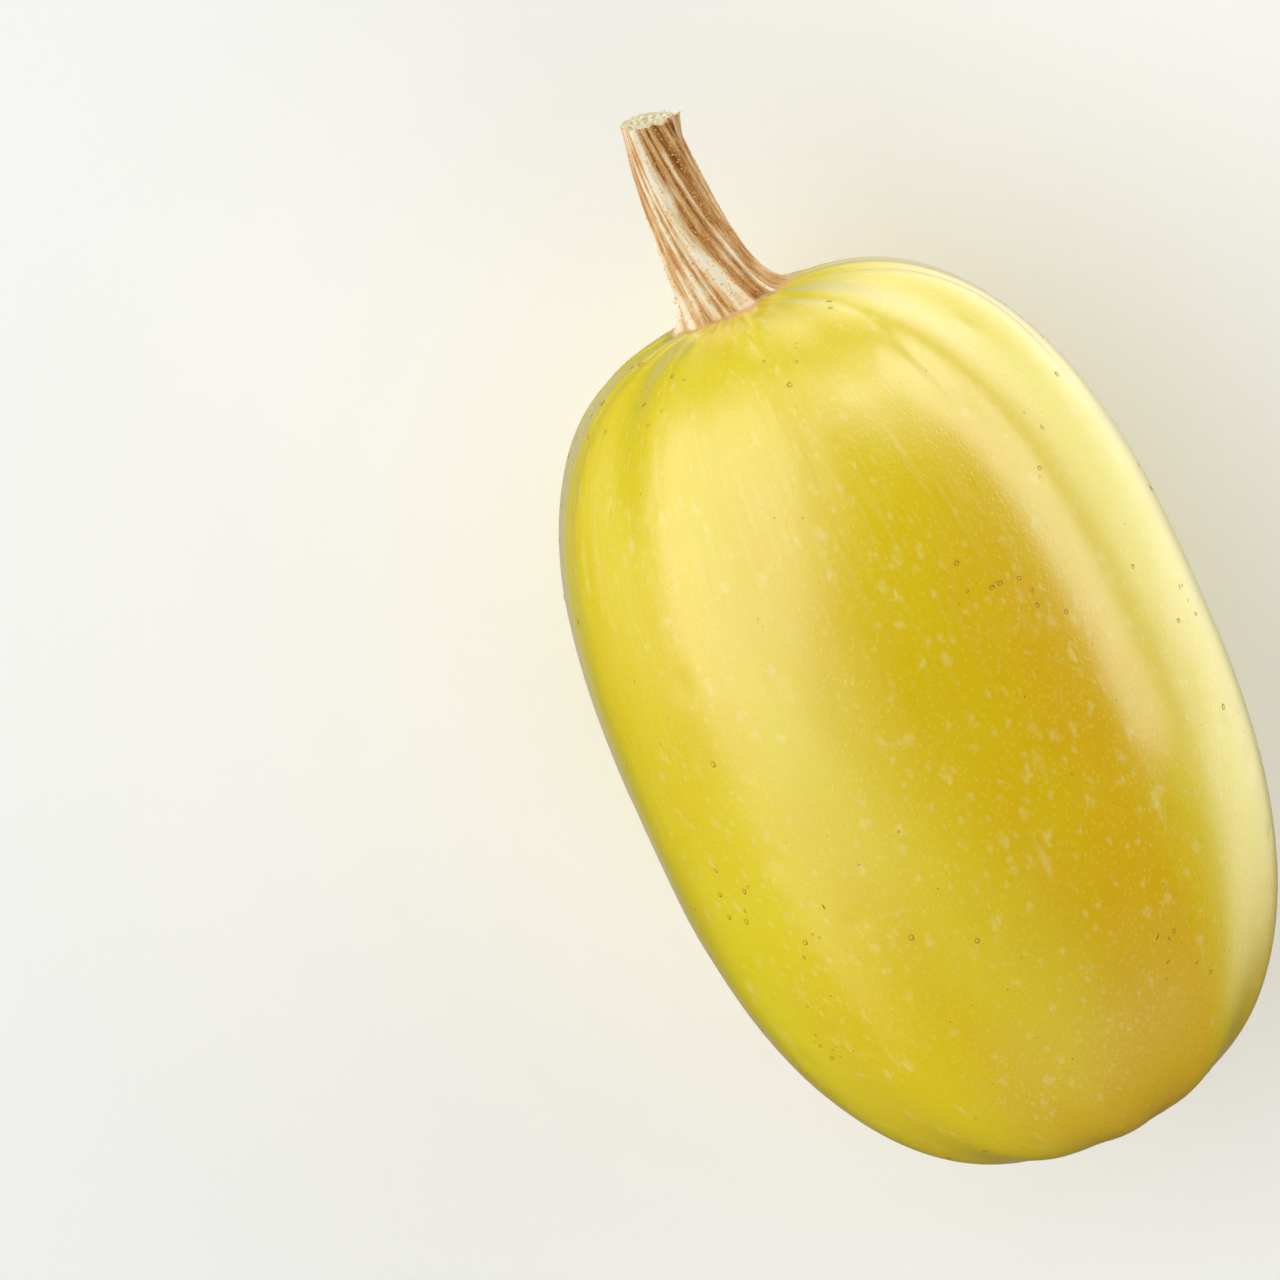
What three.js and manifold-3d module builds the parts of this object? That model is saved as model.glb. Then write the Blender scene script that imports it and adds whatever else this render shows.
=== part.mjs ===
// A ripe spaghetti squash with its dry stem, lying on its side as picked. Millimetres, +Z up.
// X runs along the fruit, with the stem towards -X. The origin is the middle of the flat ground
// spot, under the fruit's widest section, and the surface that it rests on is z = 0.
import * as THREE from "three";
import { mergeVertices } from "three/addons/utils/BufferGeometryUtils.js";
import Module from "manifold-3d";

// Fruit
const STEM_END_LENGTH = 113; // from the widest section to the stem end
const BLOSSOM_END_LENGTH = 107; // from the widest section to the blossom end
const WIDEST_RADIUS = 71.7;
const STEM_END_SQUARENESS = 2.75; // superellipse exponents: 2 is an ellipse, higher is blunter
const BLOSSOM_END_SQUARENESS = 2.35;
const SWAY = 1.1; // how far the long axis wanders sideways
const SWAY_WAVELENGTH = 300;
const LOBES = 10;
const WAIST_LOBE_HEIGHT = 0.3; // half the height from groove to crest, at the widest section
const STEM_END_LOBE_HEIGHT = 1.1;
const BLOSSOM_END_LOBE_HEIGHT = 0.6;
const LOBE_UNEVENNESS = 0.4; // share by which some lobes stand higher than others
const GROUND_SPOT_DEPTH = 1.1; // how much of the round belly the ground has flattened away
const STEM_DIMPLE_DEPTH = 2.2;
const STEM_DIMPLE_RADIUS = 24;
const BLOSSOM_SCAR_RADIUS = 7;
const BLOSSOM_SCAR_HEIGHT = 0.9;

// Stem
const STEM_LENGTH = 49; // from the fruit's end to the cut, along the fruit's axis
const STEM_CUT_RADIUS = 6.6;
const STEM_TAPER = 0.12; // radius gained per millimetre on the way down to the fruit
const STEM_FLARE = 4.1; // radius added where the stem spreads over the fruit
const STEM_FLARE_REACH = 7;
const STEM_ROOT_DEPTH = 8; // how far the uncut stem runs on into the fruit before it is trimmed
const STEM_SIDE_BOW = -1.6; // sideways pull on the middle of the stem, along Y
const STEM_SIDE_LEAN = 2.4; // sideways offset of the cut end, along Y
const STEM_RISE = 3.6; // how much higher the cut end is than the fruit's axis
const FLUTES = 8;
const FLUTE_DEPTH = 0.085; // share of the local radius
const CUT_SLANT = 0.09; // slope of the saw cut across the stem
const CUT_HOLLOW = 0.8; // depth of the dried pith below the rim of the cut

const STEM_TO_FRUIT_GAP = 0.3;

// Fineness of the meshes
const FRUIT_SEGMENTS = 60;
const FRUIT_RINGS = 46;
const STEM_SEGMENTS = 48;
const STEM_RINGS = 26;

const AXIS_HEIGHT = WIDEST_RADIUS - GROUND_SPOT_DEPTH;

const wasm = await Module();
wasm.setup();

// A closed skin over a grid of rings that runs from one pole point to the other. Seen from the
// last pole, each ring's points run anticlockwise.
function skinGeometry(firstPole, rings, lastPole) {
  const around = rings[0].length;
  const points = [firstPole, ...rings.flat(), lastPole];
  const last = points.length - 1;
  const at = (ring, step) => 1 + ring * around + (step % around);
  const faces = [];
  for (let step = 0; step < around; step++) {
    faces.push(0, at(0, step + 1), at(0, step));
    faces.push(last, at(rings.length - 1, step), at(rings.length - 1, step + 1));
    for (let ring = 0; ring + 1 < rings.length; ring++) {
      const [a, b] = [at(ring, step), at(ring, step + 1)];
      const [c, d] = [at(ring + 1, step), at(ring + 1, step + 1)];
      faces.push(a, b, d, a, d, c);
    }
  }
  return new THREE.BufferGeometry().setFromPoints(points).setIndex(faces);
}

function solidOf(geometry) {
  const bare = geometry.clone();
  bare.deleteAttribute("normal");
  bare.deleteAttribute("uv");
  const merged = mergeVertices(bare);
  return new wasm.Manifold(
    new wasm.Mesh({
      numProp: 3,
      vertProperties: new Float32Array(merged.attributes.position.array),
      triVerts: new Uint32Array(merged.index.array),
    }),
  );
}

function geometryOf(solid) {
  const { vertProperties, triVerts } = solid.getMesh();
  const geometry = new THREE.BufferGeometry();
  geometry.setAttribute("position", new THREE.BufferAttribute(vertProperties, 3));
  geometry.setIndex(new THREE.BufferAttribute(triVerts, 1));
  geometry.computeVertexNormals();
  return geometry;
}

// Distance from the middle of the widest section to the skin, at a polar angle from the stem end.
function skinDistance(polar) {
  const towardsStem = polar < Math.PI / 2;
  const length = towardsStem ? STEM_END_LENGTH : BLOSSOM_END_LENGTH;
  const squareness = towardsStem ? STEM_END_SQUARENESS : BLOSSOM_END_SQUARENESS;
  const along = Math.abs(Math.cos(polar) / length) ** squareness;
  const across = Math.abs(Math.sin(polar) / WIDEST_RADIUS) ** squareness;
  return (along + across) ** (-1 / squareness);
}

// The lobes are low at the waist, rise towards both ends, and die out on the axis. One crest lies
// on top and one at the bottom.
function lobeHeight(polar, around) {
  const endHeight = polar < Math.PI / 2 ? STEM_END_LOBE_HEIGHT : BLOSSOM_END_LOBE_HEIGHT;
  const endShare = Math.cos(polar) ** 4;
  const fade = THREE.MathUtils.smoothstep(Math.sin(polar), 0, 0.55);
  const height = THREE.MathUtils.lerp(WAIST_LOBE_HEIGHT, endHeight, endShare) * fade;
  const unevenness = 1 + LOBE_UNEVENNESS * Math.sin(3 * around);
  return -height * unevenness * Math.cos(LOBES * around);
}

// A point of the fruit's skin, or of the same skin grown outwards by a clearance.
function fruitPoint(polar, around, clearance = 0) {
  const distance = skinDistance(polar) + lobeHeight(polar, around) + clearance;
  const radius = distance * Math.sin(polar);
  const dimple = STEM_DIMPLE_DEPTH * Math.exp(-((radius / STEM_DIMPLE_RADIUS) ** 2));
  const scar = BLOSSOM_SCAR_HEIGHT * Math.exp(-((radius / BLOSSOM_SCAR_RADIUS) ** 2));
  const ends = polar < Math.PI / 2 ? dimple : scar;
  const along = -distance * Math.cos(polar) + ends;
  const sideways = -SWAY * Math.sin((2 * Math.PI * along) / SWAY_WAVELENGTH);
  return new THREE.Vector3(
    along,
    sideways + radius * Math.cos(around),
    AXIS_HEIGHT + radius * Math.sin(around),
  );
}

function roundFruitGeometry(clearance = 0) {
  const rings = [];
  for (let ring = 1; ring < FRUIT_RINGS; ring++) {
    const polar = (Math.PI * ring) / FRUIT_RINGS;
    const points = [];
    for (let step = 0; step < FRUIT_SEGMENTS; step++)
      points.push(fruitPoint(polar, (2 * Math.PI * step) / FRUIT_SEGMENTS, clearance));
    rings.push(points);
  }
  return skinGeometry(fruitPoint(0, 0, clearance), rings, fruitPoint(Math.PI, 0, clearance));
}

function groundGeometry() {
  const side = 2 * (STEM_END_LENGTH + BLOSSOM_END_LENGTH);
  return new THREE.BoxGeometry(side, side, side).translate(0, 0, -side / 2);
}

function fruitGeometry() {
  return geometryOf(solidOf(roundFruitGeometry()).subtract(solidOf(groundGeometry())));
}

function stemPath() {
  const foot = fruitPoint(0, 0);
  const cutEnd = foot.clone().add(new THREE.Vector3(-STEM_LENGTH, STEM_SIDE_LEAN, STEM_RISE));
  const middle = foot.clone().add(new THREE.Vector3(-STEM_LENGTH / 2, STEM_SIDE_BOW, 0));
  return new THREE.QuadraticBezierCurve3(foot, middle, cutEnd);
}

// Radius of the stem's section at a height above the fruit, with its flutes.
function stemRadius(height, around) {
  const shaft = STEM_CUT_RADIUS + STEM_TAPER * (STEM_LENGTH - height);
  const flare = STEM_FLARE * Math.exp(-height / STEM_FLARE_REACH);
  const flute = 1 + FLUTE_DEPTH * Math.cos(FLUTES * around);
  return (shaft + flare) * flute;
}

function stemSection(path, height) {
  const share = Math.max(0, height / STEM_LENGTH);
  const tangent = path.getTangent(share);
  const centre = path.getPoint(share).addScaledVector(tangent, Math.min(0, height));
  const side = new THREE.Vector3(0, 0, 1).cross(tangent).normalize();
  const top = tangent.clone().cross(side);
  const slant = Math.max(0, share) ** 3 * CUT_SLANT;
  const points = [];
  for (let step = 0; step < STEM_SEGMENTS; step++) {
    const around = (2 * Math.PI * step) / STEM_SEGMENTS;
    const radius = stemRadius(height, around);
    const point = centre.clone().addScaledVector(side, radius * Math.cos(around));
    point.addScaledVector(top, radius * Math.sin(around));
    points.push(point.addScaledVector(tangent, slant * radius * Math.cos(around)));
  }
  return { points, centre, tangent };
}

function stemGeometry() {
  const path = stemPath();
  const sections = [];
  for (let ring = 0; ring <= STEM_RINGS; ring++) {
    const height = THREE.MathUtils.lerp(-STEM_ROOT_DEPTH, STEM_LENGTH, ring / STEM_RINGS);
    sections.push(stemSection(path, height));
  }
  const root = sections[0].centre;
  const cut = sections.at(-1);
  const pith = cut.centre.clone().addScaledVector(cut.tangent, -CUT_HOLLOW);
  const rings = sections.map((section) => section.points);
  const uncut = solidOf(skinGeometry(root, rings, pith));
  const bed = solidOf(roundFruitGeometry(STEM_TO_FRUIT_GAP));
  return geometryOf(uncut.subtract(bed));
}

const FINISHES = {
  fruit_skin: { color: 0xe3c31e, roughness: 0.38, metalness: 0 },
  dry_stem: { color: 0xc79a63, roughness: 0.85, metalness: 0 },
};

function piece(name, geometry, finish) {
  const mesh = new THREE.Mesh(geometry, new THREE.MeshStandardMaterial(FINISHES[finish]));
  mesh.name = name;
  return mesh;
}

const squash = new THREE.Group();
squash.add(piece("fruit", fruitGeometry(), "fruit_skin"));
squash.add(piece("stem", stemGeometry(), "dry_stem"));

export default squash;
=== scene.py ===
"""Studio scene of one ripe spaghetti squash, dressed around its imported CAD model.

The squash lies on its side on its flat ground spot. X runs along the fruit with the stem towards
-X, Z points up, and everything is in metres in the model's own frame.
"""
import logging
import math
from dataclasses import dataclass
from enum import Enum
from typing import Any, Callable, Mapping, Sequence

import bpy
import numpy as np
from mathutils import Matrix, Vector, noise


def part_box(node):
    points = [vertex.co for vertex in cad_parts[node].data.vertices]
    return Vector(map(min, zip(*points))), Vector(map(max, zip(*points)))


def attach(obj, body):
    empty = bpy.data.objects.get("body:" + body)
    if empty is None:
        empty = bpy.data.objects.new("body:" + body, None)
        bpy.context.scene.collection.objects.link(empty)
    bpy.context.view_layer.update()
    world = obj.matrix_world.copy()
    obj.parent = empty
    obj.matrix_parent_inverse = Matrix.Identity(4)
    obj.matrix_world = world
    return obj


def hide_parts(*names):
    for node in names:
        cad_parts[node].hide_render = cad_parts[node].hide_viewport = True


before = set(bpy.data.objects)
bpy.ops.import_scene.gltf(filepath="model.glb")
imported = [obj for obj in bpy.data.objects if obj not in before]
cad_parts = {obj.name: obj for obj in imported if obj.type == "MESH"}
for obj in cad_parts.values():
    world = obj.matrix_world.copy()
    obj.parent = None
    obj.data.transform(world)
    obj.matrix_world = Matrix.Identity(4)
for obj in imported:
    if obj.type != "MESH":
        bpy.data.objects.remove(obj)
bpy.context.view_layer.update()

MM = 0.001
BODY = "root"

log = logging.getLogger("squash")

Colour = tuple[float, float, float, float]
Layer = tuple[Any, bpy.types.NodeSocket]
Field = np.ndarray


class Slot(Enum):
    """The record's material slots."""

    RIND = "fruit_skin"
    STEM = "dry_stem"


# ---------------------------------------------------------------------------------------------
# Small helpers


def linear(hex_colour: str, alpha: float = 1.0) -> Colour:
    """Turns an sRGB hex colour into the linear colour that shaders use.

    Args:
        hex_colour: six hex digits after a '#'.
        alpha: the colour's opacity.

    Returns:
        Red, green, blue and alpha, each 0 to 1.
    """
    digits = hex_colour.lstrip("#")
    channels = [int(digits[i : i + 2], 16) / 255 for i in (0, 2, 4)]
    lit = [c / 12.92 if c <= 0.04045 else ((c + 0.055) / 1.055) ** 2.4 for c in channels]
    return (lit[0], lit[1], lit[2], alpha)


def add_node(
    tree: bpy.types.NodeTree,
    kind: str,
    settings: Mapping[str, Any] | None = None,
    inputs: Mapping[str | int, Any] | None = None,
) -> bpy.types.Node:
    """Adds a node to a tree with its settings, input values and links.

    Args:
        tree: the shader or geometry tree that gets the node.
        kind: the node's type name.
        settings: properties of the node itself.
        inputs: values for its inputs, by name or number. An output socket is linked.

    Returns:
        The new node.
    """
    node = tree.nodes.new(kind)
    for name, value in (settings or {}).items():
        setattr(node, name, value)
    for key, value in (inputs or {}).items():
        if isinstance(value, bpy.types.NodeSocket):
            tree.links.new(value, node.inputs[key])
        else:
            node.inputs[key].default_value = value
    return node


def smooth_step(value: Field, start: float, end: float) -> Field:
    """A smooth climb from 0 at start to 1 at end."""
    share = np.clip((value - start) / (end - start), 0.0, 1.0)
    return share * share * (3 - 2 * share)


def bump(value: Field, centre: float, width: float) -> Field:
    """A bell that is 1 at the centre and falls to 0.37 one width away."""
    return np.exp(-(((value - centre) / width) ** 2))


def turn_between(angle: Field, centre: float) -> Field:
    """The signed angle from a centre direction, from -pi to pi."""
    return (angle - centre + np.pi) % (2 * np.pi) - np.pi


def soft_noise(points: Field, grain: Sequence[float], seed: float) -> Field:
    """Smooth noise over points, about -1 to 1.

    Args:
        points: an array whose last axis is x, y, z in metres.
        grain: the noise's grain along x, y and z, in metres.
        seed: shifts the noise so that two fields differ.

    Returns:
        One value for each point.
    """
    flat = points.reshape(-1, 3) / np.array(grain) + seed * np.array([1.7, 3.1, 5.3])
    values = np.fromiter((noise.noise(p) for p in flat.tolist()), float, len(flat))
    return values.reshape(points.shape[:-1])


def grid_mesh(name: str, rings: Field, first_pole: Field, last_pole: Field) -> bpy.types.Mesh:
    """A closed mesh over rings of points, with a fan at each end.

    Args:
        name: the mesh's name.
        rings: points with axes ring, step and xyz. Each ring runs anticlockwise seen from the
            last pole.
        first_pole: the point that closes the first ring.
        last_pole: the point that closes the last ring.

    Returns:
        A smooth-shaded mesh whose faces point outwards.
    """
    count, around = rings.shape[:2]
    points = np.vstack([first_pole[None], rings.reshape(-1, 3), last_pole[None]])
    steps = np.arange(around)
    after = (steps + 1) % around
    faces: list[tuple[int, ...]] = [(0, 1 + b, 1 + a) for a, b in zip(steps, after)]
    for ring in range(count - 1):
        low, high = 1 + ring * around, 1 + (ring + 1) * around
        faces += [(low + a, low + b, high + b, high + a) for a, b in zip(steps, after)]
    last, top = len(points) - 1, 1 + (count - 1) * around
    faces += [(last, top + a, top + b) for a, b in zip(steps, after)]
    mesh = bpy.data.meshes.new(name)
    mesh.from_pydata(points.tolist(), [], [tuple(map(int, face)) for face in faces])
    mesh.polygons.foreach_set("use_smooth", np.ones(len(mesh.polygons), bool))
    mesh.update()
    return mesh


def grid_normals(rings: Field) -> Field:
    """Outward unit normals of a ring grid, from its neighbours' differences.

    Args:
        rings: points with axes ring, step and xyz.

    Returns:
        A unit vector for each point.
    """
    around = np.roll(rings, -1, axis=1) - np.roll(rings, 1, axis=1)
    along = np.gradient(rings, axis=0)
    normals = np.cross(around, along)
    return normals / np.linalg.norm(normals, axis=2, keepdims=True)


def store(mesh: bpy.types.Mesh, name: str, rings: Field, first: Any, last: Any) -> None:
    """Keeps a value for each vertex of a ring mesh as a named attribute.

    Args:
        mesh: a mesh made by grid_mesh.
        name: the attribute's name.
        rings: the values with axes ring and step, and xyz for a vector.
        first: the first pole's value.
        last: the last pole's value.
    """
    vector = rings.ndim == 3
    kind, key = ("FLOAT_VECTOR", "vector") if vector else ("FLOAT", "value")
    width = 3 if vector else 1
    parts = [np.reshape(part, (-1, width)) for part in (first, rings, last)]
    attribute = mesh.attributes.new(name, kind, "POINT")
    attribute.data.foreach_set(key, np.vstack(parts).astype(np.float32).ravel())


def add_object(name: str, mesh: bpy.types.Mesh) -> bpy.types.Object:
    """Puts a mesh in the scene as an object at the origin.

    Args:
        name: the object's name.
        mesh: its mesh.

    Returns:
        The new object.
    """
    thing = bpy.data.objects.new(name, mesh)
    bpy.context.scene.collection.objects.link(thing)
    return thing


# ---------------------------------------------------------------------------------------------
# Finishes


@dataclass(frozen=True)
class Spots:
    """One kind of small spot scattered over a surface, one at most in each cell.

    Cells are longer along the piece than across it, as flecks are that stretched while the fruit
    grew. Radius, softness and raggedness are shares of a cell, presence is the share of cells
    that hold a spot, and the spots come and go in patches.
    """

    hue: str
    strength: float
    across: float
    along: float
    radius: float
    softness: float
    raggedness: float
    presence: float
    patch_from: float
    patch_to: float
    seed: float
    patch: float = 30 * MM
    rise: float = 0.0

    def mask(self, tree: bpy.types.NodeTree, place: bpy.types.NodeSocket) -> bpy.types.NodeSocket:
        """Adds the nodes of a mask that is 1 on the spots and 0 between them.

        Args:
            tree: the material's tree.
            place: coordinates on the surface, in metres, with z along the piece.

        Returns:
            The mask's socket.
        """
        stretch = (1 / self.across, 1 / self.across, 1 / self.along)
        cells = add_node(tree, "ShaderNodeMapping", inputs={
            "Vector": place, "Location": (self.seed, self.seed * 1.3, self.seed * 0.7),
            "Scale": stretch})
        frayed = add_node(tree, "ShaderNodeTexNoise", inputs={
            "Vector": cells.outputs[0], "Scale": 3.2, "Detail": 2.0})
        shift = add_node(tree, "ShaderNodeVectorMath", {"operation": "MULTIPLY_ADD"}, {
            0: frayed.outputs["Color"], 1: (self.raggedness,) * 3,
            2: (-self.raggedness / 2,) * 3})
        moved = add_node(tree, "ShaderNodeVectorMath", {"operation": "ADD"}, {
            0: cells.outputs[0], 1: shift.outputs[0]})
        spot = add_node(tree, "ShaderNodeTexVoronoi", inputs={
            "Vector": moved.outputs[0], "Scale": 1.0})
        disc = add_node(tree, "ShaderNodeMapRange", {"interpolation_type": "SMOOTHSTEP"}, {
            "Value": spot.outputs["Distance"], "From Min": self.radius + self.softness,
            "From Max": self.radius - self.softness})
        chance = add_node(tree, "ShaderNodeSeparateColor", inputs={
            "Color": spot.outputs["Color"]})
        chosen = add_node(tree, "ShaderNodeMath", {"operation": "LESS_THAN"}, {
            0: chance.outputs[0], 1: self.presence})
        kept = add_node(tree, "ShaderNodeMath", {"operation": "MULTIPLY"}, {
            0: disc.outputs[0], 1: chosen.outputs[0]})
        drift = add_node(tree, "ShaderNodeMapping", inputs={
            "Vector": place, "Location": (self.seed * 2.1, 0.0, self.seed),
            "Scale": (1 / self.patch, 1 / self.patch, 0.45 / self.patch)})
        cloud = add_node(tree, "ShaderNodeTexNoise", inputs={
            "Vector": drift.outputs[0], "Scale": 1.0, "Detail": 1.0})
        patchy = add_node(tree, "ShaderNodeMapRange", {"interpolation_type": "SMOOTHSTEP"}, {
            "Value": cloud.outputs[0], "From Min": self.patch_from, "From Max": self.patch_to})
        shown = add_node(tree, "ShaderNodeMath", {"operation": "MULTIPLY"}, {
            0: kept.outputs[0], 1: patchy.outputs[0]})
        return shown.outputs[0]


def new_material(name: str) -> tuple[bpy.types.Material, bpy.types.NodeTree]:
    """Makes a material with an empty node tree.

    Args:
        name: the material's name.

    Returns:
        The material and its tree.
    """
    material = bpy.data.materials.new(name)
    material.use_nodes = True
    material.node_tree.nodes.clear()
    return material, material.node_tree


@dataclass(frozen=True)
class WaxyRind:
    """Cucurbit rind: a hard skin under its own thin wax, smooth but not flat.

    The wax gives the eye a broad satin sheen with a clearer one on top. Under it the colour is
    clean lemon to golden yellow, strewn with cream flecks and fine pale dots that are slightly
    raised.
    """

    lemon: str = "#DECE0A"
    # Golden: random clouds, the blossom end, and a band of painted shade on the upper +Y side.
    golden: str = "#DCB000"
    green_tinge: str = "#D2C208"
    fleck: str = "#EADA82"
    belly: str = "#E6CF62"
    # Brown ring on the rind round the stem's foot: painted shade in the joint.
    shaded_collar: str = "#A07C34"
    scar_groove: str = "#6E4A1E"
    scar_crest: str = "#C29A5A"
    cloud_share: float = 0.45
    streak_share: float = 0.35
    green_share: float = 0.6
    belly_share: float = 0.7
    shaded_collar_share: float = 0.35
    roughness: float = 0.31
    wax: float = 1.0
    wax_roughness: float = 0.22
    ior: float = 1.54
    pebble: float = 0.9 * MM
    relief_depth: float = 0.07 * MM

    dots: Spots = Spots(
        "#E7D23E", 0.42, across=1.25 * MM, along=1.6 * MM, radius=0.27, softness=0.22,
        raggedness=0.3, presence=0.85, patch_from=0.1, patch_to=0.4, seed=7.0, rise=0.4)
    small_flecks: Spots = Spots(
        fleck, 0.38, across=2.9 * MM, along=4.1 * MM, radius=0.2, softness=0.17,
        raggedness=0.6, presence=0.6, patch_from=0.32, patch_to=0.56, seed=4.0, rise=0.25)
    streaks: Spots = Spots(
        fleck, 0.36, across=6 * MM, along=36 * MM, radius=0.13, softness=0.09,
        raggedness=0.45, presence=0.4, patch_from=0.4, patch_to=0.6, seed=2.0)
    flecks: Spots = Spots(
        fleck, 0.45, across=5.2 * MM, along=7.4 * MM, radius=0.18, softness=0.17,
        raggedness=0.75, presence=0.6, patch_from=0.34, patch_to=0.56, seed=1.0, rise=0.3)
    pinpricks: Spots = Spots(
        "#93622A", 0.8, across=3.4 * MM, along=3.8 * MM, radius=0.07, softness=0.035,
        raggedness=0.1, presence=0.6, patch_from=0.48, patch_to=0.6, seed=11.0,
        patch=16 * MM, rise=-0.8)

    def material(self) -> bpy.types.Material:
        """Builds the rind's material from the attributes that the fruit's mesh holds.

        Returns:
            The material.
        """
        material, tree = new_material("waxy_rind")
        skin = add_node(tree, "ShaderNodeAttribute", {"attribute_name": "skin"}).outputs["Vector"]
        masks = {
            name: add_node(tree, "ShaderNodeAttribute", {"attribute_name": name}).outputs["Fac"]
            for name in ("stem_end", "golden_tone_and_shade", "belly", "shaded_collar", "scar")
        }
        covers = {
            spots: spots.mask(tree, skin)
            for spots in (self.dots, self.small_flecks, self.streaks, self.flecks, self.pinpricks)
        }
        layers = self._ground_layers(tree, skin, masks)
        for spots, cover in covers.items():
            share = add_node(tree, "ShaderNodeMath", {"operation": "MULTIPLY"}, {
                0: cover, 1: spots.strength}).outputs[0]
            layers.append((linear(spots.hue), share))
        # The ring round the stem's foot: painted shade in the joint.
        stain_and_shade = add_node(tree, "ShaderNodeMath", {"operation": "MULTIPLY"}, {
            0: masks["shaded_collar"], 1: self.shaded_collar_share}).outputs[0]
        layers.append((linear(self.shaded_collar), stain_and_shade))
        layers.append((self._scar_cork(tree), masks["scar"]))
        colour: Any = linear(self.lemon)
        for over, share in layers:
            colour = add_node(tree, "ShaderNodeMix", {"data_type": "RGBA"}, {
                "Factor": share, 6: colour, 7: over}).outputs[2]
        shader = add_node(tree, "ShaderNodeBsdfPrincipled", inputs={
            "Base Color": colour, "Roughness": self._roughness(tree, skin, masks["scar"]),
            "IOR": self.ior, "Coat Weight": self.wax, "Coat Roughness": self.wax_roughness,
            "Coat IOR": self.ior, "Normal": self._relief(tree, skin, covers)})
        add_node(tree, "ShaderNodeOutputMaterial", inputs={"Surface": shader.outputs[0]})
        return material

    def _ground_layers(
        self,
        tree: bpy.types.NodeTree,
        skin: bpy.types.NodeSocket,
        masks: Mapping[str, bpy.types.NodeSocket],
    ) -> list[Layer]:
        """The ground colour: golden clouds with a band of painted shade, fine streaks, a green
        shoulder and a pale belly.

        Args:
            tree: the material's tree.
            skin: the skin's own coordinates.
            masks: the fruit's attributes by name.

        Returns:
            Colours with the shares by which each covers what lies under it.
        """
        stretched = add_node(tree, "ShaderNodeMapping", inputs={
            "Vector": skin, "Scale": (22.0, 22.0, 11.0)})
        clouds = add_node(tree, "ShaderNodeTexNoise", inputs={
            "Vector": stretched.outputs[0], "Scale": 1.0, "Detail": 3.0})
        tone = add_node(tree, "ShaderNodeMapRange", {"interpolation_type": "SMOOTHSTEP"}, {
            "Value": clouds.outputs[0], "From Min": 0.32, "From Max": 0.68})
        # Golden clouds of the rind's own tone, plus the golden band of painted shade.
        golden_clouds_and_shade = add_node(tree, "ShaderNodeMath", {"operation": "MULTIPLY_ADD", "use_clamp": True},
                           {0: tone.outputs[0], 1: self.cloud_share, 2: masks["golden_tone_and_shade"]})
        lines = add_node(tree, "ShaderNodeMapping", inputs={
            "Vector": skin, "Scale": (700.0, 700.0, 42.0)})
        streaks = add_node(tree, "ShaderNodeTexNoise", inputs={
            "Vector": lines.outputs[0], "Scale": 1.0, "Detail": 2.0})
        streak = add_node(tree, "ShaderNodeMapRange", inputs={
            "Value": streaks.outputs[0], "From Min": 0.5, "From Max": 0.75,
            "To Max": self.streak_share})
        shoulder = add_node(tree, "ShaderNodeMath", {"operation": "MULTIPLY"}, {
            0: streak.outputs[0], 1: masks["stem_end"]})
        green = add_node(tree, "ShaderNodeMapRange", {"interpolation_type": "SMOOTHSTEP"}, {
            "Value": masks["stem_end"], "From Min": 0.55, "From Max": 1.0,
            "To Max": self.green_share})
        pale = add_node(tree, "ShaderNodeMath", {"operation": "MULTIPLY"}, {
            0: masks["belly"], 1: self.belly_share})
        return [
            (linear(self.golden), golden_clouds_and_shade.outputs[0]),
            (linear(self.fleck), shoulder.outputs[0]),
            (linear(self.green_tinge), green.outputs[0]),
            (linear(self.belly), pale.outputs[0]),
        ]

    def _scar_cork(self, tree: bpy.types.NodeTree) -> bpy.types.NodeSocket:
        """The corky brown of the blossom scar, mottled at about a millimetre.

        Args:
            tree: the material's tree.

        Returns:
            The colour's socket.
        """
        place = add_node(tree, "ShaderNodeTexCoord").outputs["Object"]
        mottle = add_node(tree, "ShaderNodeTexNoise", inputs={
            "Vector": place, "Scale": 900.0, "Detail": 4.0})
        cork = add_node(tree, "ShaderNodeValToRGB", inputs={"Fac": mottle.outputs[0]})
        stops = ((0.35, self.scar_groove), (0.65, self.scar_crest))
        for stop, (position, hue) in zip(cork.color_ramp.elements, stops):
            stop.position, stop.color = position, linear(hue)
        return cork.outputs[0]

    def _roughness(
        self, tree: bpy.types.NodeTree, skin: bpy.types.NodeSocket, scar: bpy.types.NodeSocket
    ) -> bpy.types.NodeSocket:
        """Satin, a little uneven where the wax has been handled, and dull on the scar.

        Args:
            tree: the material's tree.
            skin: the skin's own coordinates.
            scar: the mask of the blossom scar.

        Returns:
            The roughness's socket.
        """
        handled = add_node(tree, "ShaderNodeTexNoise", inputs={
            "Vector": skin, "Scale": 60.0, "Detail": 3.0})
        satin = add_node(tree, "ShaderNodeMapRange", inputs={
            "Value": handled.outputs[0], "From Min": 0.3, "From Max": 0.7,
            "To Min": self.roughness - 0.05, "To Max": self.roughness + 0.06})
        dull = add_node(tree, "ShaderNodeMath", {"operation": "MULTIPLY_ADD", "use_clamp": True},
                        {0: scar, 1: 0.5, 2: satin.outputs[0]})
        return dull.outputs[0]

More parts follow.
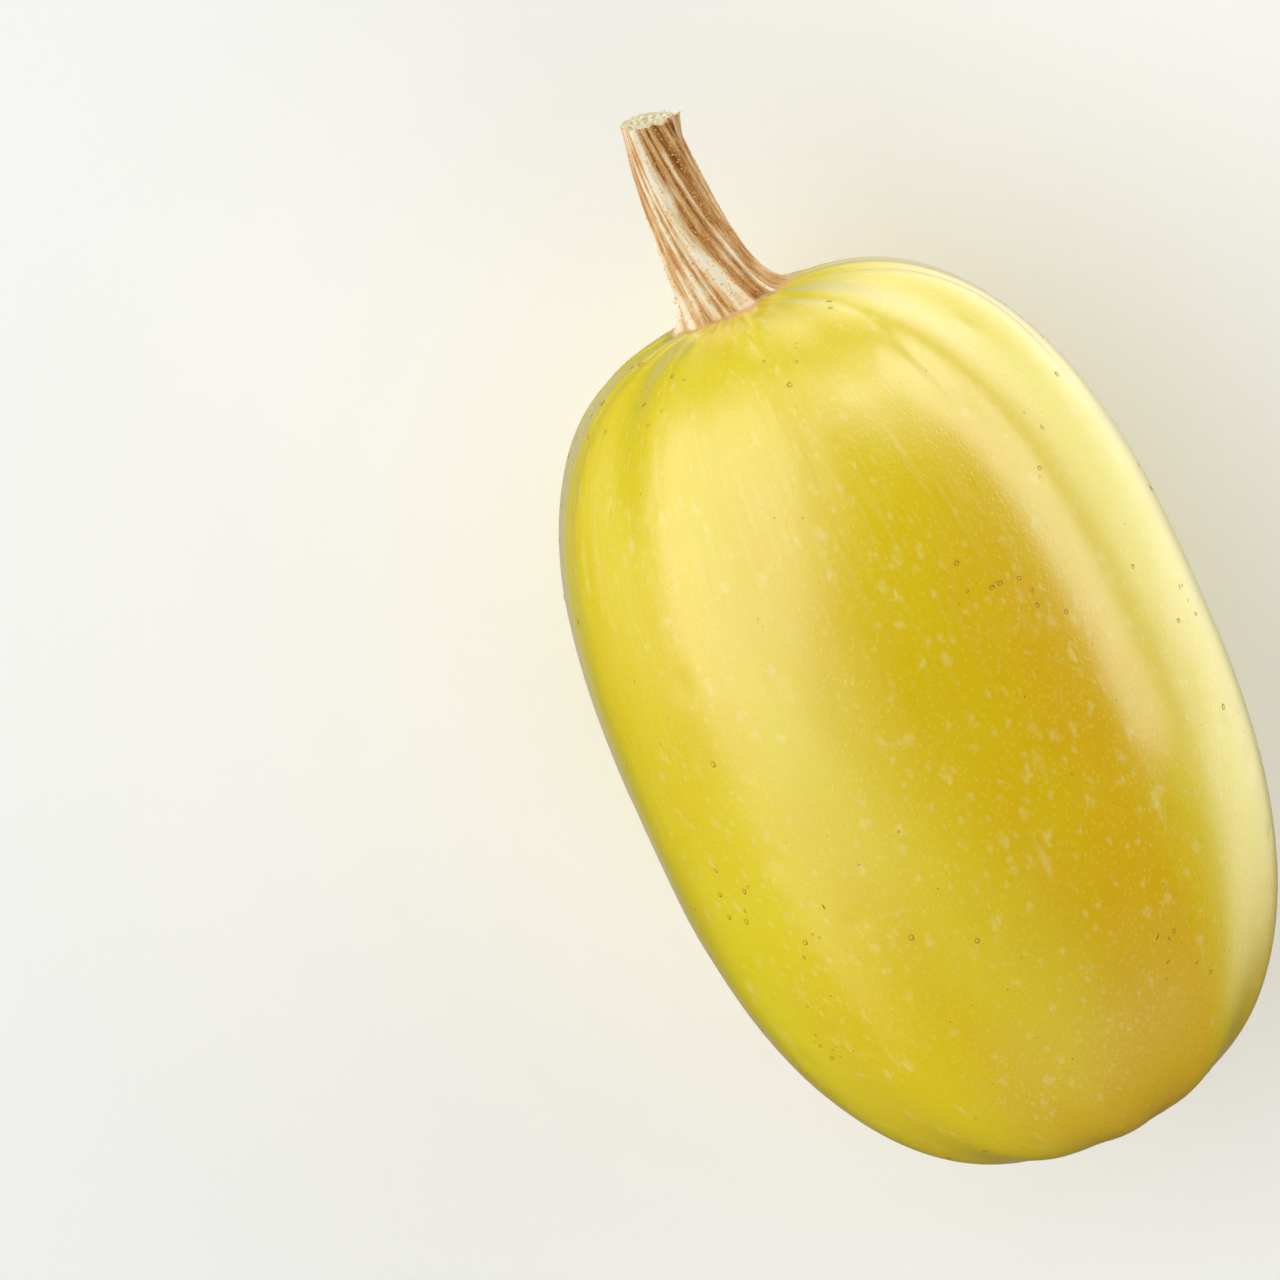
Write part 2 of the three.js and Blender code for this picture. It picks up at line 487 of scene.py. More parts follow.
    def _relief(
        self,
        tree: bpy.types.NodeTree,
        skin: bpy.types.NodeSocket,
        covers: Mapping[Spots, bpy.types.NodeSocket],
    ) -> bpy.types.NodeSocket:
        """Raised flecks and dots, sunken pinpricks and the skin's fine pebbling.

        Args:
            tree: the material's tree.
            skin: the skin's own coordinates.
            covers: the mask of each kind of spot.

        Returns:
            The normal's socket.
        """
        pebbles = add_node(tree, "ShaderNodeTexNoise", inputs={
            "Vector": skin, "Scale": 1.0 / self.pebble, "Detail": 2.0, "Roughness": 0.65})
        height = pebbles.outputs[0]
        for spots, cover in covers.items():
            if spots.rise:
                height = add_node(tree, "ShaderNodeMath", {"operation": "MULTIPLY_ADD"}, {
                    0: cover, 1: spots.rise, 2: height}).outputs[0]
        relief = add_node(tree, "ShaderNodeBump", inputs={
            "Strength": 1.0, "Distance": self.relief_depth, "Height": height})
        return relief.outputs[0]


@dataclass(frozen=True)
class CorkyStem:
    """Dried peduncle: dead, corky wood fibre, air-dried on the vine.

    It is dull. The bleached crests are cream, the grooves between them hold brown sap stain, and
    fine fibres run along it.
    """

    bleached: str = "#E9E1CB"
    straw: str = "#E0C7A0"
    tan: str = "#C29359"
    stain: str = "#A0662A"
    deep_stain: str = "#6E421A"
    # Tan band on the bark where it meets the rind: the foot's own tan, laid as painted shade in the
    # joint.
    foot: str = "#CDA672"
    cut_pale: str = "#DDD9B8"
    cut_tan: str = "#BFA878"
    roughness: float = 0.72
    ior: float = 1.45
    fibre: float = 0.45 * MM
    fibre_length: float = 4.5 * MM
    blotch: float = 4 * MM
    blotch_length: float = 12 * MM
    relief_depth: float = 0.25 * MM

    pits: Spots = Spots(
        deep_stain, 0.8, across=2.6 * MM, along=3.2 * MM, radius=0.1, softness=0.05,
        raggedness=0.4, presence=0.35, patch_from=0.45, patch_to=0.6, seed=3.0,
        patch=10 * MM, rise=-0.6)

    def material(self) -> bpy.types.Material:
        """Builds the stem's material from the attributes that its meshes hold.

        Returns:
            The material.
        """
        material, tree = new_material("corky_stem")
        bark = add_node(tree, "ShaderNodeAttribute", {"attribute_name": "bark"}).outputs["Vector"]
        crest, cut, foot = (
            add_node(tree, "ShaderNodeAttribute", {"attribute_name": name}).outputs["Fac"]
            for name in ("crest", "cut", "foot")
        )
        fibres = add_node(tree, "ShaderNodeMapping", inputs={
            "Vector": bark, "Scale": (1 / self.fibre, 1 / self.fibre, 1 / self.fibre_length)})
        grain = add_node(tree, "ShaderNodeTexNoise", inputs={
            "Vector": fibres.outputs[0], "Scale": 1.0, "Detail": 4.0, "Roughness": 0.6})
        blotches = add_node(tree, "ShaderNodeMapping", inputs={
            "Vector": bark, "Scale": (1 / self.blotch, 1 / self.blotch, 1 / self.blotch_length)})
        blotch = add_node(tree, "ShaderNodeTexNoise", inputs={
            "Vector": blotches.outputs[0], "Scale": 1.0, "Detail": 3.0})
        level = add_node(tree, "ShaderNodeMath", {"operation": "MULTIPLY_ADD"}, {
            0: grain.outputs[0], 1: 1.1, 2: crest})
        stain_and_shade = add_node(tree, "ShaderNodeMath", {"operation": "MULTIPLY_ADD"}, {
            0: blotch.outputs[0], 1: 1.3, 2: level.outputs[0]})
        paleness = add_node(tree, "ShaderNodeMapRange", inputs={
            "Value": stain_and_shade.outputs[0], "From Min": 1.02, "From Max": 2.12})
        ramp = add_node(tree, "ShaderNodeValToRGB", inputs={"Fac": paleness.outputs[0]})
        stops = ramp.color_ramp.elements
        stops[0].position, stops[0].color = 0.0, linear(self.deep_stain)
        stops[1].position, stops[1].color = 1.0, linear(self.bleached)
        for position, hue in ((0.18, self.stain), (0.42, self.tan), (0.7, self.straw)):
            stops.new(position).color = linear(hue)
        pits = self.pits.mask(tree, bark)
        pitted = add_node(tree, "ShaderNodeMath", {"operation": "MULTIPLY"}, {
            0: pits, 1: self.pits.strength})
        colour = ramp.outputs[0]
        for over, share in (
            (linear(self.pits.hue), pitted.outputs[0]),
            # The foot's tan band, painted shade in the joint with the rind.
            (linear(self.foot), foot),
            (self._dried_pith(tree), cut),
        ):
            colour = add_node(tree, "ShaderNodeMix", {"data_type": "RGBA"}, {
                "Factor": share, 6: colour, 7: over}).outputs[2]
        height = add_node(tree, "ShaderNodeMath", {"operation": "MULTIPLY_ADD"}, {
            0: pits, 1: self.pits.rise, 2: grain.outputs[0]})
        relief = add_node(tree, "ShaderNodeBump", inputs={
            "Strength": 0.8, "Distance": self.relief_depth, "Height": height.outputs[0]})
        shader = add_node(tree, "ShaderNodeBsdfPrincipled", inputs={
            "Base Color": colour, "Roughness": self.roughness, "IOR": self.ior,
            "Specular IOR Level": 0.4, "Normal": relief.outputs[0]})
        add_node(tree, "ShaderNodeOutputMaterial", inputs={"Surface": shader.outputs[0]})
        return material

    def _dried_pith(self, tree: bpy.types.NodeTree) -> bpy.types.NodeSocket:
        """The pale, dried, slightly green face of the cut.

        Args:
            tree: the material's tree.

        Returns:
            The colour's socket.
        """
        place = add_node(tree, "ShaderNodeTexCoord").outputs["Object"]
        crumbs = add_node(tree, "ShaderNodeTexNoise", inputs={
            "Vector": place, "Scale": 1.0 / (0.9 * MM), "Detail": 5.0})
        pith = add_node(tree, "ShaderNodeValToRGB", inputs={"Fac": crumbs.outputs[0]})
        stops = ((0.36, self.cut_tan), (0.58, self.cut_pale))
        for stop, (position, hue) in zip(pith.color_ramp.elements, stops):
            stop.position, stop.color = position, linear(hue)
        return pith.outputs[0]


@dataclass(frozen=True)
class PlainFinish:
    """A small piece's finish: one hue mottled with a second at a real grain."""

    name: str
    light: str
    dark: str
    grain: float
    roughness: float
    ior: float = 1.45

    def material(self) -> bpy.types.Material:
        """Builds the finish's material.

        Returns:
            The material.
        """
        material, tree = new_material(self.name)
        place = add_node(tree, "ShaderNodeTexCoord").outputs["Object"]
        mottle = add_node(tree, "ShaderNodeTexNoise", inputs={
            "Vector": place, "Scale": 1 / self.grain, "Detail": 2.0})
        share = add_node(tree, "ShaderNodeMapRange", inputs={
            "Value": mottle.outputs[0], "From Min": 0.35, "From Max": 0.65})
        colour = add_node(tree, "ShaderNodeMix", {"data_type": "RGBA"}, {
            "Factor": share.outputs[0], 6: linear(self.dark), 7: linear(self.light)})
        shader = add_node(tree, "ShaderNodeBsdfPrincipled", inputs={
            "Base Color": colour.outputs[2], "Roughness": self.roughness, "IOR": self.ior})
        add_node(tree, "ShaderNodeOutputMaterial", inputs={"Surface": shader.outputs[0]})
        return material


# Healed insect marks: thin rims of brown cork.
CORK_MARK = PlainFinish("cork_mark", "#B98530", "#8A561C", 0.6 * MM, 0.6)
# Dried sap: hard amber beads that glint in the grooves of the stem.
DRIED_SAP = PlainFinish("dried_sap", "#F0C468", "#D09038", 0.5 * MM, 0.25, 1.54)
# Torn wood fibre: dull, straw-coloured ends.
TORN_FIBRE = PlainFinish("torn_fibre", "#E2D6B0", "#C2A26A", 0.8 * MM, 0.8)


# ---------------------------------------------------------------------------------------------
# The fruit


@dataclass
class Fruit:
    """The squash's one grown body, worked out from the CAD node's box.

    The profile is a superellipse on each side of the widest section, which lies over the origin.
    Low lobes run along it, with furrows on the shoulder around the stem, soft dents, a corky
    blossom scar and a flattened belly. A pair of values says where a shape starts and ends, how
    wide it is on each side, or between which limits a random size is drawn.
    """

    low: Vector
    high: Vector
    stem_end_squareness: float = 2.75
    blossom_end_squareness: float = 2.35
    sway: float = 1.1 * MM
    sway_wavelength: float = 0.3
    lobes: int = 10
    waist_lobe: float = 0.3 * MM
    stem_end_lobe: float = 1.1 * MM
    blossom_end_lobe: float = 0.6 * MM
    lobe_unevenness: float = 0.4
    dimple_depth: float = 2.2 * MM
    dimple_radius: float = 24 * MM
    furrow_depth: float = 0.9 * MM
    furrow_start: tuple[float, float] = (13 * MM, 24 * MM)
    furrow_end: tuple[float, float] = (0.45, 1.05)
    swell: float = 0.55 * MM
    ripple: float = 0.22 * MM
    pleats: int = 31
    pleat_height: float = 0.16 * MM
    pleat_radius: float = 19 * MM
    pleat_reach: float = 9 * MM
    scar_radius: float = 4.6 * MM
    scar_height: float = 0.7 * MM
    ground_blend: float = 0.5 * MM
    # Where the golden band of painted shade runs round the axis, and its widths on either side.
    golden_shade_side: float = math.radians(66)
    golden_shade_widths: tuple[float, float] = (0.2, 0.44)
    # Width of the ring of painted shade on the rind round the stem.
    shaded_collar_width: float = 0.7 * MM
    belly_height: tuple[float, float] = (1 * MM, 16 * MM)
    shoulder_length: tuple[float, float] = (0.02, 0.17)
    marked_height: tuple[float, float] = (10 * MM, 30 * MM)
    dent_reach_mm: tuple[float, float] = (1.6, 3.6)
    dent_steepness: tuple[float, float] = (0.06, 0.11)
    dent_count: int = 46
    dent_seed: int = 4
    steps_around: int = 352
    steps_along: int = 236

    @property
    def radius(self) -> float:
        """Radius of the widest section."""
        return (self.high.y - self.low.y) / 2

    @property
    def axis_height(self) -> float:
        """Height of the fruit's long axis over the ground."""
        return self.high.z - self.radius - self.waist_lobe * (1 - self.lobe_unevenness)

    @property
    def stem_end_length(self) -> float:
        """Length of the profile towards the stem, before the dimple draws its end in."""
        return 0.83 * self.dimple_depth - self.low.x

    def distance(self, polar: Field) -> Field:
        """Distance from the middle to the skin at a polar angle from the stem end.

        Args:
            polar: angle from the stem end.

        Returns:
            The distance in metres.
        """
        stem_side = polar < np.pi / 2
        length = np.where(stem_side, self.stem_end_length, self.high.x)
        power = np.where(stem_side, self.stem_end_squareness, self.blossom_end_squareness)
        along = np.abs(np.cos(polar) / length) ** power
        across = np.abs(np.sin(polar) / self.radius) ** power
        return (along + across) ** (-1 / power)

    def lobe_height(self, polar: Field, around: Field) -> Field:
        """Height of the low lobes, which rise towards the ends and die out on the axis.

        Args:
            polar: angle from the stem end.
            around: angle round the axis from +Y over the top.

        Returns:
            The height in metres, below 0 in the grooves.
        """
        end = np.where(polar < np.pi / 2, self.stem_end_lobe, self.blossom_end_lobe)
        share = np.cos(polar) ** 4
        height = self.waist_lobe * (1 - share) + end * share
        fade = smooth_step(np.sin(polar), 0.0, 0.55)
        unevenness = 1 + self.lobe_unevenness * np.sin(3 * around)
        return -height * fade * unevenness * np.cos(self.lobes * around)

    def place(self, polar: Field, around: Field) -> Field:
        """The skin's points before its finer relief, with the dimple at the stem end.

        Args:
            polar: angle from the stem end.
            around: angle round the axis from +Y over the top.

        Returns:
            Points with xyz as the last axis.
        """
        distance = self.distance(polar) + self.lobe_height(polar, around)
        radius = distance * np.sin(polar)
        dimple = self.dimple_depth * bump(radius, 0.0, self.dimple_radius)
        along = -distance * np.cos(polar) + dimple * (polar < np.pi / 2)
        sideways = -self.sway * np.sin(2 * np.pi * along / self.sway_wavelength)
        across = sideways + radius * np.cos(around)
        return np.stack([along, across, self.axis_height + radius * np.sin(around)], axis=-1)

    def clearance(self, points: Field) -> Field:
        """How far points near the stem lie outside the lobed form.

        Args:
            points: places with xyz as the last axis.

        Returns:
            The distance in metres from the form, along a line from its middle.
        """
        sideways = -self.sway * np.sin(2 * np.pi * points[..., 0] / self.sway_wavelength)
        across, up = points[..., 1] - sideways, points[..., 2] - self.axis_height
        from_axis = np.hypot(across, up)
        along = points[..., 0] - self.dimple_depth * bump(from_axis, 0.0, self.dimple_radius)
        reach = np.hypot(along, from_axis)
        polar = np.arccos(np.clip(-along / reach, -1, 1))
        form = self.distance(polar) + self.lobe_height(polar, np.arctan2(up, across))
        return reach - form

    def fine_line(self) -> tuple[Field, Field]:
        """A fine line along the +Y side of the skin, from pole to pole.

        Returns:
            Polar angles from the stem end, and the points at them.
        """
        polar = np.linspace(0, np.pi, 2000)
        return polar, self.place(polar, np.zeros_like(polar))

    def even_polar_angles(self) -> Field:
        """Polar angles of the rings, evenly spaced along the skin.

        Returns:
            One angle for each ring, from the stem end.
        """
        fine, line = self.fine_line()
        run = np.concatenate([[0], np.cumsum(np.linalg.norm(np.diff(line, axis=0), axis=1))])
        rings = np.linspace(0, run[-1], self.steps_along + 2)[1:-1]
        return np.interp(rings, run, fine)

    def relief(self, rings: Field, polar: Field, around: Field, skin: Field) -> Field:
        """Height of the finer shapes over the lobed form.

        Args:
            rings: points of the lobed form.
            polar: polar angle of each point.
            around: angle of each point round the axis.
            skin: the skin's own coordinates at each point.

        Returns:
            Height along the normal at each point.
        """
        from_axis = np.hypot(rings[..., 1], rings[..., 2] - self.axis_height)
        stem_side = polar < np.pi / 2
        swell = self.swell * soft_noise(skin, (0.045, 0.045, 0.085), 2.0)
        ripple_place = smooth_step(soft_noise(skin, (0.05, 0.05, 0.06), 9.0), -0.15, 0.35)
        ripples = self.ripple * soft_noise(skin, (0.013, 0.013, 0.021), 5.0) * ripple_place
        wander = 0.12 * soft_noise(skin, (0.03, 0.03, 0.05), 14.0)
        furrow_shape = np.abs(np.cos(self.lobes / 2 * (around + wander)))
        furrow_reach = smooth_step(from_axis, *self.furrow_start)
        furrow_reach *= 1 - smooth_step(polar, *self.furrow_end)
        furrow_size = 0.75 + 0.5 * np.sin(2 * around + 0.6)
        furrows = -self.furrow_depth * furrow_size * furrow_reach * (1 - furrow_shape) ** 3
        pleat_share = bump(from_axis, self.pleat_radius, self.pleat_reach) * stem_side
        pleats = self.pleat_height * pleat_share * np.sin(self.pleats * around + 3 * wander)
        scar = self.scar_relief(rings, from_axis, stem_side)
        swell *= smooth_step(from_axis, 0.0, 0.03)
        return swell + ripples + furrows + pleats + scar - self.dents(skin)

    def scar_relief(self, rings: Field, from_axis: Field, stem_side: Field) -> Field:
        """The blossom scar: a low corky button with a raised rim and a nub in its middle.

        Args:
            rings: points of the lobed form.
            from_axis: distance of each point from the long axis.
            stem_side: true on the half with the stem.

        Returns:
            Height of the scar at each point.
        """
        edge = self.scar_radius * (1 + 0.12 * soft_noise(rings, (0.004,) * 3, 3.0))
        button = 1 - smooth_step(from_axis / edge, 0.8, 1.15)
        rim = 0.35 * bump(from_axis / edge, 0.85, 0.16)
        nub = 0.8 * bump(from_axis, 0.0, 0.9 * MM)
        crumbs = 0.25 * soft_noise(rings, (0.0011,) * 3, 8.0) * button
        return self.scar_height * (0.45 * button + rim + nub + crumbs) * ~stem_side

    def settle(self, points: Field) -> Field:
        """Flattens what would lie under the ground, with a soft edge.

        Args:
            points: places with xyz as the last axis, changed in place.

        Returns:
            The same points, the lowest at height 0.
        """
        height = points[..., 2]
        eased = (height + np.sqrt(height**2 + self.ground_blend**2)) / 2
        points[..., 2] = eased - eased.min()
        return points

    def build(self, clearance: Callable[[Field], Field]) -> bpy.types.Object:
        """Builds the fruit's mesh with the attributes its rind reads.

        Args:
            clearance: gives how far points of the skin lie outside the stem's foot.

        Returns:
            The fruit's object.
        """
        angles = self.even_polar_angles()
        turn = np.arange(self.steps_around) * (2 * np.pi / self.steps_around)
        polar, around = np.meshgrid(angles, turn, indexing="ij")
        rings = self.place(polar, around)
        run = np.linspace(0, 1, self.steps_along + 2)[1:-1] * self.skin_length()
        skin = np.stack([
            self.radius * np.cos(around),
            self.radius * np.sin(around),
            np.broadcast_to(run[:, None], around.shape),
        ], axis=-1)
        height = self.relief(rings, polar, around, skin)
        raised = self.fit_to_box(rings + grid_normals(rings) * height[..., None])
        poles = [raised[0].mean(axis=0), raised[-1].mean(axis=0)]
        poles[1][0] += 0.15 * MM
        settled = self.settle(raised)
        mesh = grid_mesh("fruit_skin", settled, poles[0], poles[1])
        from_axis = np.hypot(rings[..., 1], rings[..., 2] - self.axis_height)
        stem_side = polar < np.pi / 2
        # A ring of painted shade on the rind, darkest against the stem's bark.
        near_stem = clearance(settled[: self.steps_along // 4])
        shaded_collar = np.zeros_like(polar)
        shaded_collar[: len(near_stem)] = 1 - smooth_step(near_stem, 0.0, self.shaded_collar_width)
        stem_end = 1 - smooth_step(run[:, None] + 0 * around, *self.shoulder_length)
        belly = 1 - smooth_step(settled[..., 2], *self.belly_height)
        scar = 1 - smooth_step(from_axis, 0.85 * self.scar_radius, 1.2 * self.scar_radius)
        store(mesh, "skin", skin, (0, 0, 0), (0, 0, self.skin_length()))
        store(mesh, "stem_end", stem_end, 1.0, 0.0)
        store(mesh, "golden_tone_and_shade", self.golden_tone_and_shade(skin, polar, around), 0.3, 0.6)
        store(mesh, "belly", belly, 0.0, 0.0)
        store(mesh, "shaded_collar", shaded_collar, 1.0, 0.0)
        store(mesh, "scar", scar * ~stem_side, 0.0, 1.0)
        store(mesh, "marks", self.mark_density(skin, settled), 0.0, 0.0)
        return add_object("fruit_skin", mesh)

    def golden_tone_and_shade(self, skin: Field, polar: Field, around: Field) -> Field:
        """How golden the rind is: a band of painted shade along the upper +Y side, and more towards
        the blossom end.

        Args:
            skin: the skin's own coordinates at each point.
            polar: polar angle of each point.
            around: angle of each point round the axis.

        Returns:
            Goldenness from 0, lemon, to 1, golden.
        """
        off = turn_between(around, self.golden_shade_side)
        side = np.exp(-((off / np.where(off < 0, *self.golden_shade_widths)) ** 2))
        end = 0.35 * smooth_step(polar, 1.5, 2.7)
        cloud = 0.22 * soft_noise(skin, (0.03, 0.03, 0.06), 31.0)
        return np.clip(0.75 * side * smooth_step(polar, 0.5, 1.2) + end + cloud - 0.08, 0, 1)

    def dents(self, skin: Field) -> Field:
        """Depth of the small round dents that a growing fruit gets against soil and straw.

        Args:
            skin: the skin's own coordinates at each point.

        Returns:
            Depth in metres at each point.
        """
        draw = np.random.default_rng(self.dent_seed)
        depth = np.zeros(skin.shape[:2])
        for _ in range(self.dent_count):
            turn = draw.uniform(0, 2 * np.pi)
            run = draw.uniform(0.1, 0.85) * self.skin_length()
            middle = np.array([self.radius * np.cos(turn), self.radius * np.sin(turn), run])
            reach = draw.uniform(*self.dent_reach_mm) * MM
            away = np.linalg.norm(skin - middle, axis=-1)
            depth += draw.uniform(*self.dent_steepness) * reach * np.exp(-((away / reach) ** 2))
        return depth

    def skin_length(self) -> float:
        """Length of the skin from the stem end to the blossom end.

        Returns:
            The length in metres, along the +Y side.
        """
        _, line = self.fine_line()
        return float(np.linalg.norm(np.diff(line, axis=0), axis=1).sum())

    def fit_to_box(self, points: Field) -> Field:
        """Stretches the form by the hair it needs to span the CAD node's length exactly.

        Args:
            points: places with xyz as the last axis, changed in place.

        Returns:
            The same points.
        """
        low, high = points[..., 0].min(), points[..., 0].max()
        scale = np.where(points[..., 0] < 0, self.low.x / low, self.high.x / high)
        points[..., 0] *= scale
        return points

    def mark_density(self, skin: Field, points: Field) -> Field:
        """Where insects left their marks: loose clusters, and none under the belly.

        Args:
            skin: the skin's own coordinates at each point.
            points: the same points in space.

        Returns:
            Density of the marks, 0 to 1.
        """
        cluster = soft_noise(skin, (0.017, 0.017, 0.022), 21.0)
        open_side = smooth_step(points[..., 2], *self.marked_height)
        return smooth_step(cluster, 0.25, 0.6) * open_side


# ---------------------------------------------------------------------------------------------
# The stem


@dataclass(frozen=True)
class Ridge:
    """One ridge of the stem, with angles in degrees round it, measured along its winding.

    Its height is in millimetres. The bleaching runs from 0, stained bark, to 1, cream cork.
    """

    angle: float
    half_width: float
    height: float
    bleached_at_foot: float
    bleached_at_cut: float


@dataclass(frozen=True)
class Buttress:
    """One root-like spread of the stem's foot over the rind, with its angles in degrees."""

    angle: float
    half_width: float
    spread: float
    reach: float


@dataclass
class Stem:
    """The dry stub of the vine's stalk, worked out from the CAD node's box.

    It leaves the fruit in buttresses, narrows, turns a little sideways and ends in a rough cut.
    Its ridges wind slowly round it. Its middle line leans further to +Y at the cut than the CAD
    node's, by lean, and stops short of the node's end, by shrinkage, to leave room for the torn
    rim and the sliver of bark.
    """

    foot: Vector
    cut_centre: Vector
    side_bow: float = -1.6 * MM
    cut_radius: float = 6.0 * MM
    taper: float = 0.085
    base_spread: float = 1.0 * MM
    base_reach: float = 9.0 * MM
    root_depth: float = 3.0 * MM
    winding: float = math.radians(56)
    cut_slant: float = 0.09
    cut_tilt: float = 0.13
    cut_hollow: float = 0.9 * MM
    lean: float = 3.2 * MM
    shrinkage: float = 2.6 * MM
    steps_around: int = 256
    steps_along: int = 230
    cut_rings: int = 26
    ridges: tuple[Ridge, ...] = (
        Ridge(8, 9, 0.8, 0.8, 0.7),
        Ridge(32, 12, 0.9, 0.75, 0.7),
        Ridge(53, 6, 0.5, 0.62, 0.7),
        Ridge(72, 6, 0.55, 0.72, 0.75),
        Ridge(84, 3.5, 0.4, 0.8, 0.7),
        Ridge(103, 14, 1.1, 0.68, 0.9),
        Ridge(129, 7, 0.6, 0.3, 0.38),
        Ridge(144, 5.0, 0.85, 0.78, 0.4),
        Ridge(171, 11, 1.0, 0.32, 0.3),
        Ridge(192, 7, 0.7, 0.4, 0.3),
        Ridge(213, 10, 0.95, 0.38, 0.35),
        Ridge(238, 11, 1.1, 0.85, 0.7),
        Ridge(260, 7, 0.6, 0.5, 0.45),
        Ridge(281, 12, 1.1, 0.9, 0.85),
        Ridge(305, 8, 0.8, 0.55, 0.5),
        Ridge(326, 10, 1.0, 0.7, 0.6),
        Ridge(347, 7, 0.7, 0.85, 0.8),
    )
    buttresses: tuple[Buttress, ...] = (
        Buttress(-10, 28, 5.8 * MM, 3.2 * MM),
        Buttress(48, 16, 1.6 * MM, 3.5 * MM),
        Buttress(100, 20, 2.4 * MM, 4.0 * MM),
        Buttress(176, 30, 3.6 * MM, 3.6 * MM),
        Buttress(235, 22, 3.2 * MM, 4.0 * MM),
        Buttress(290, 24, 4.2 * MM, 2.6 * MM),
    )

    @property
    def length(self) -> float:
        """Length of the stem along the fruit's axis."""
        return self.foot.x - self.cut_centre.x - self.shrinkage

    def path(self, share: Field) -> tuple[Field, Field]:
        """Points and unit directions of the stem's bent middle line.

        Args:
            share: place along the stem, 0 at the fruit and 1 at the cut. Below 0 it runs
                straight on into the fruit.

        Returns:
            Points and directions, with xyz as the last axis.
        """
        start, end = np.array(self.foot), np.array(self.cut_centre)
        end = end + [self.shrinkage, self.lean, 0.0]
        bend = start + np.array([-self.length / 2, self.side_bow, 0.0])
        inside = np.clip(share, 0, 1)[..., None]
        points = (1 - inside) ** 2 * start + 2 * inside * (1 - inside) * bend + inside**2 * end
        slopes = 2 * (1 - inside) * (bend - start) + 2 * inside * (end - bend)
        directions = slopes / np.linalg.norm(slopes, axis=-1, keepdims=True)
        points = points + directions * (np.minimum(share, 0) * self.length)[..., None]
        return points, directions

    def crests(self, turn: Field, share: Field) -> tuple[Field, Field]:
        """Relief and bleaching of the ridges.

        Args:
            turn: the angle round the stem, measured along the ridges' winding.
            share: place along the stem, 0 at the fruit and 1 at the cut.

        Returns:
            Height over the grooves in metres, and bleaching from 0 to 1.
        """
        height = np.zeros_like(turn)
        bleach = np.zeros_like(turn)
        for ridge in self.ridges:
            off = np.degrees(turn_between(turn, math.radians(ridge.angle)))
            shape = np.exp(-(np.abs(off / ridge.half_width) ** 3.2))
            paleness = ridge.bleached_at_foot + share * (
                ridge.bleached_at_cut - ridge.bleached_at_foot)
            height = np.maximum(height, ridge.height * MM * shape)
            bleach = np.maximum(bleach, paleness * shape)
        # The whole stem is paler on the side towards 45 degrees round it and darker towards the
        # cut.
        pale_side = bump(turn_between(turn, math.radians(45)), 0.0, math.radians(50))
        return height, np.maximum(bleach, 0.3 + 0.26 * pale_side - 0.2 * share)

    def foot_spread(self, height: Field, around: Field) -> Field:
        """How far the foot spreads beyond the shaft, with its buttresses.

        Args:
            height: height over the fruit's pole, in metres.
            around: angle round the stem.

        Returns:
            The spread in metres.
        """
        spread = self.base_spread * np.exp(-height / self.base_reach)
        for root in self.buttresses:
            off = np.degrees(turn_between(around, math.radians(root.angle)))
            shape = np.exp(-(np.abs(off / root.half_width) ** 2))
            spread = spread + root.spread * shape * np.exp(-height / root.reach)
        return spread

    def radius_at(self, height: Field, around: Field) -> tuple[Field, Field]:
        """Radius of the stem and how bleached it is.

        Args:
            height: height over the fruit's pole, in metres.
            around: angle round the stem.

        Returns:
            The radius in metres and the bleaching from 0 to 1.
        """
        share = np.clip(height / self.length, -0.1, 1.0)
        crest, bleach = self.crests(around + self.winding * share, share)
        shaft = self.cut_radius + self.taper * (self.length - height)
        above = np.maximum(height, -1.2 * MM)
        grown = 0.75 + 0.5 * np.exp(-above / (2 * self.base_reach))
        return shaft + self.foot_spread(above, around) + (crest - 0.5 * MM) * grown, bleach

    def clearance(self, points: Field) -> Field:
        """How far points near the stem's foot lie outside its bark.

        Args:
            points: places with xyz as the last axis.

        Returns:
            The distance in metres across the stem, negative inside it.
        """
        height = self.foot.x - points[..., 0]
        centres, _ = self.path(height / self.length)
        across, up = centres[..., 1] - points[..., 1], points[..., 2] - centres[..., 2]
        bark = self.radius_at(np.minimum(height, self.length), np.arctan2(up, across))[0]
        return np.hypot(across, up) - bark

    def place(self, height: Field, around: Field, radius: Field) -> tuple[Field, Field]:
        """Points at given heights, angles and radii of the stem.

        Args:
            height: height over the fruit's pole, in metres.
            around: angle round the stem.
            radius: distance from the stem's middle line, in metres.

        Returns:
            Points and the stem's directions there, with xyz as the last axis.
        """
        centres, directions = self.path(height / self.length)
        side = np.cross([0.0, 0.0, 1.0], directions)
        side = side / np.linalg.norm(side, axis=-1, keepdims=True)
        top = np.cross(directions, side)
        across = side * np.cos(around)[..., None] + top * np.sin(around)[..., None]
        return centres + across * radius[..., None], directions

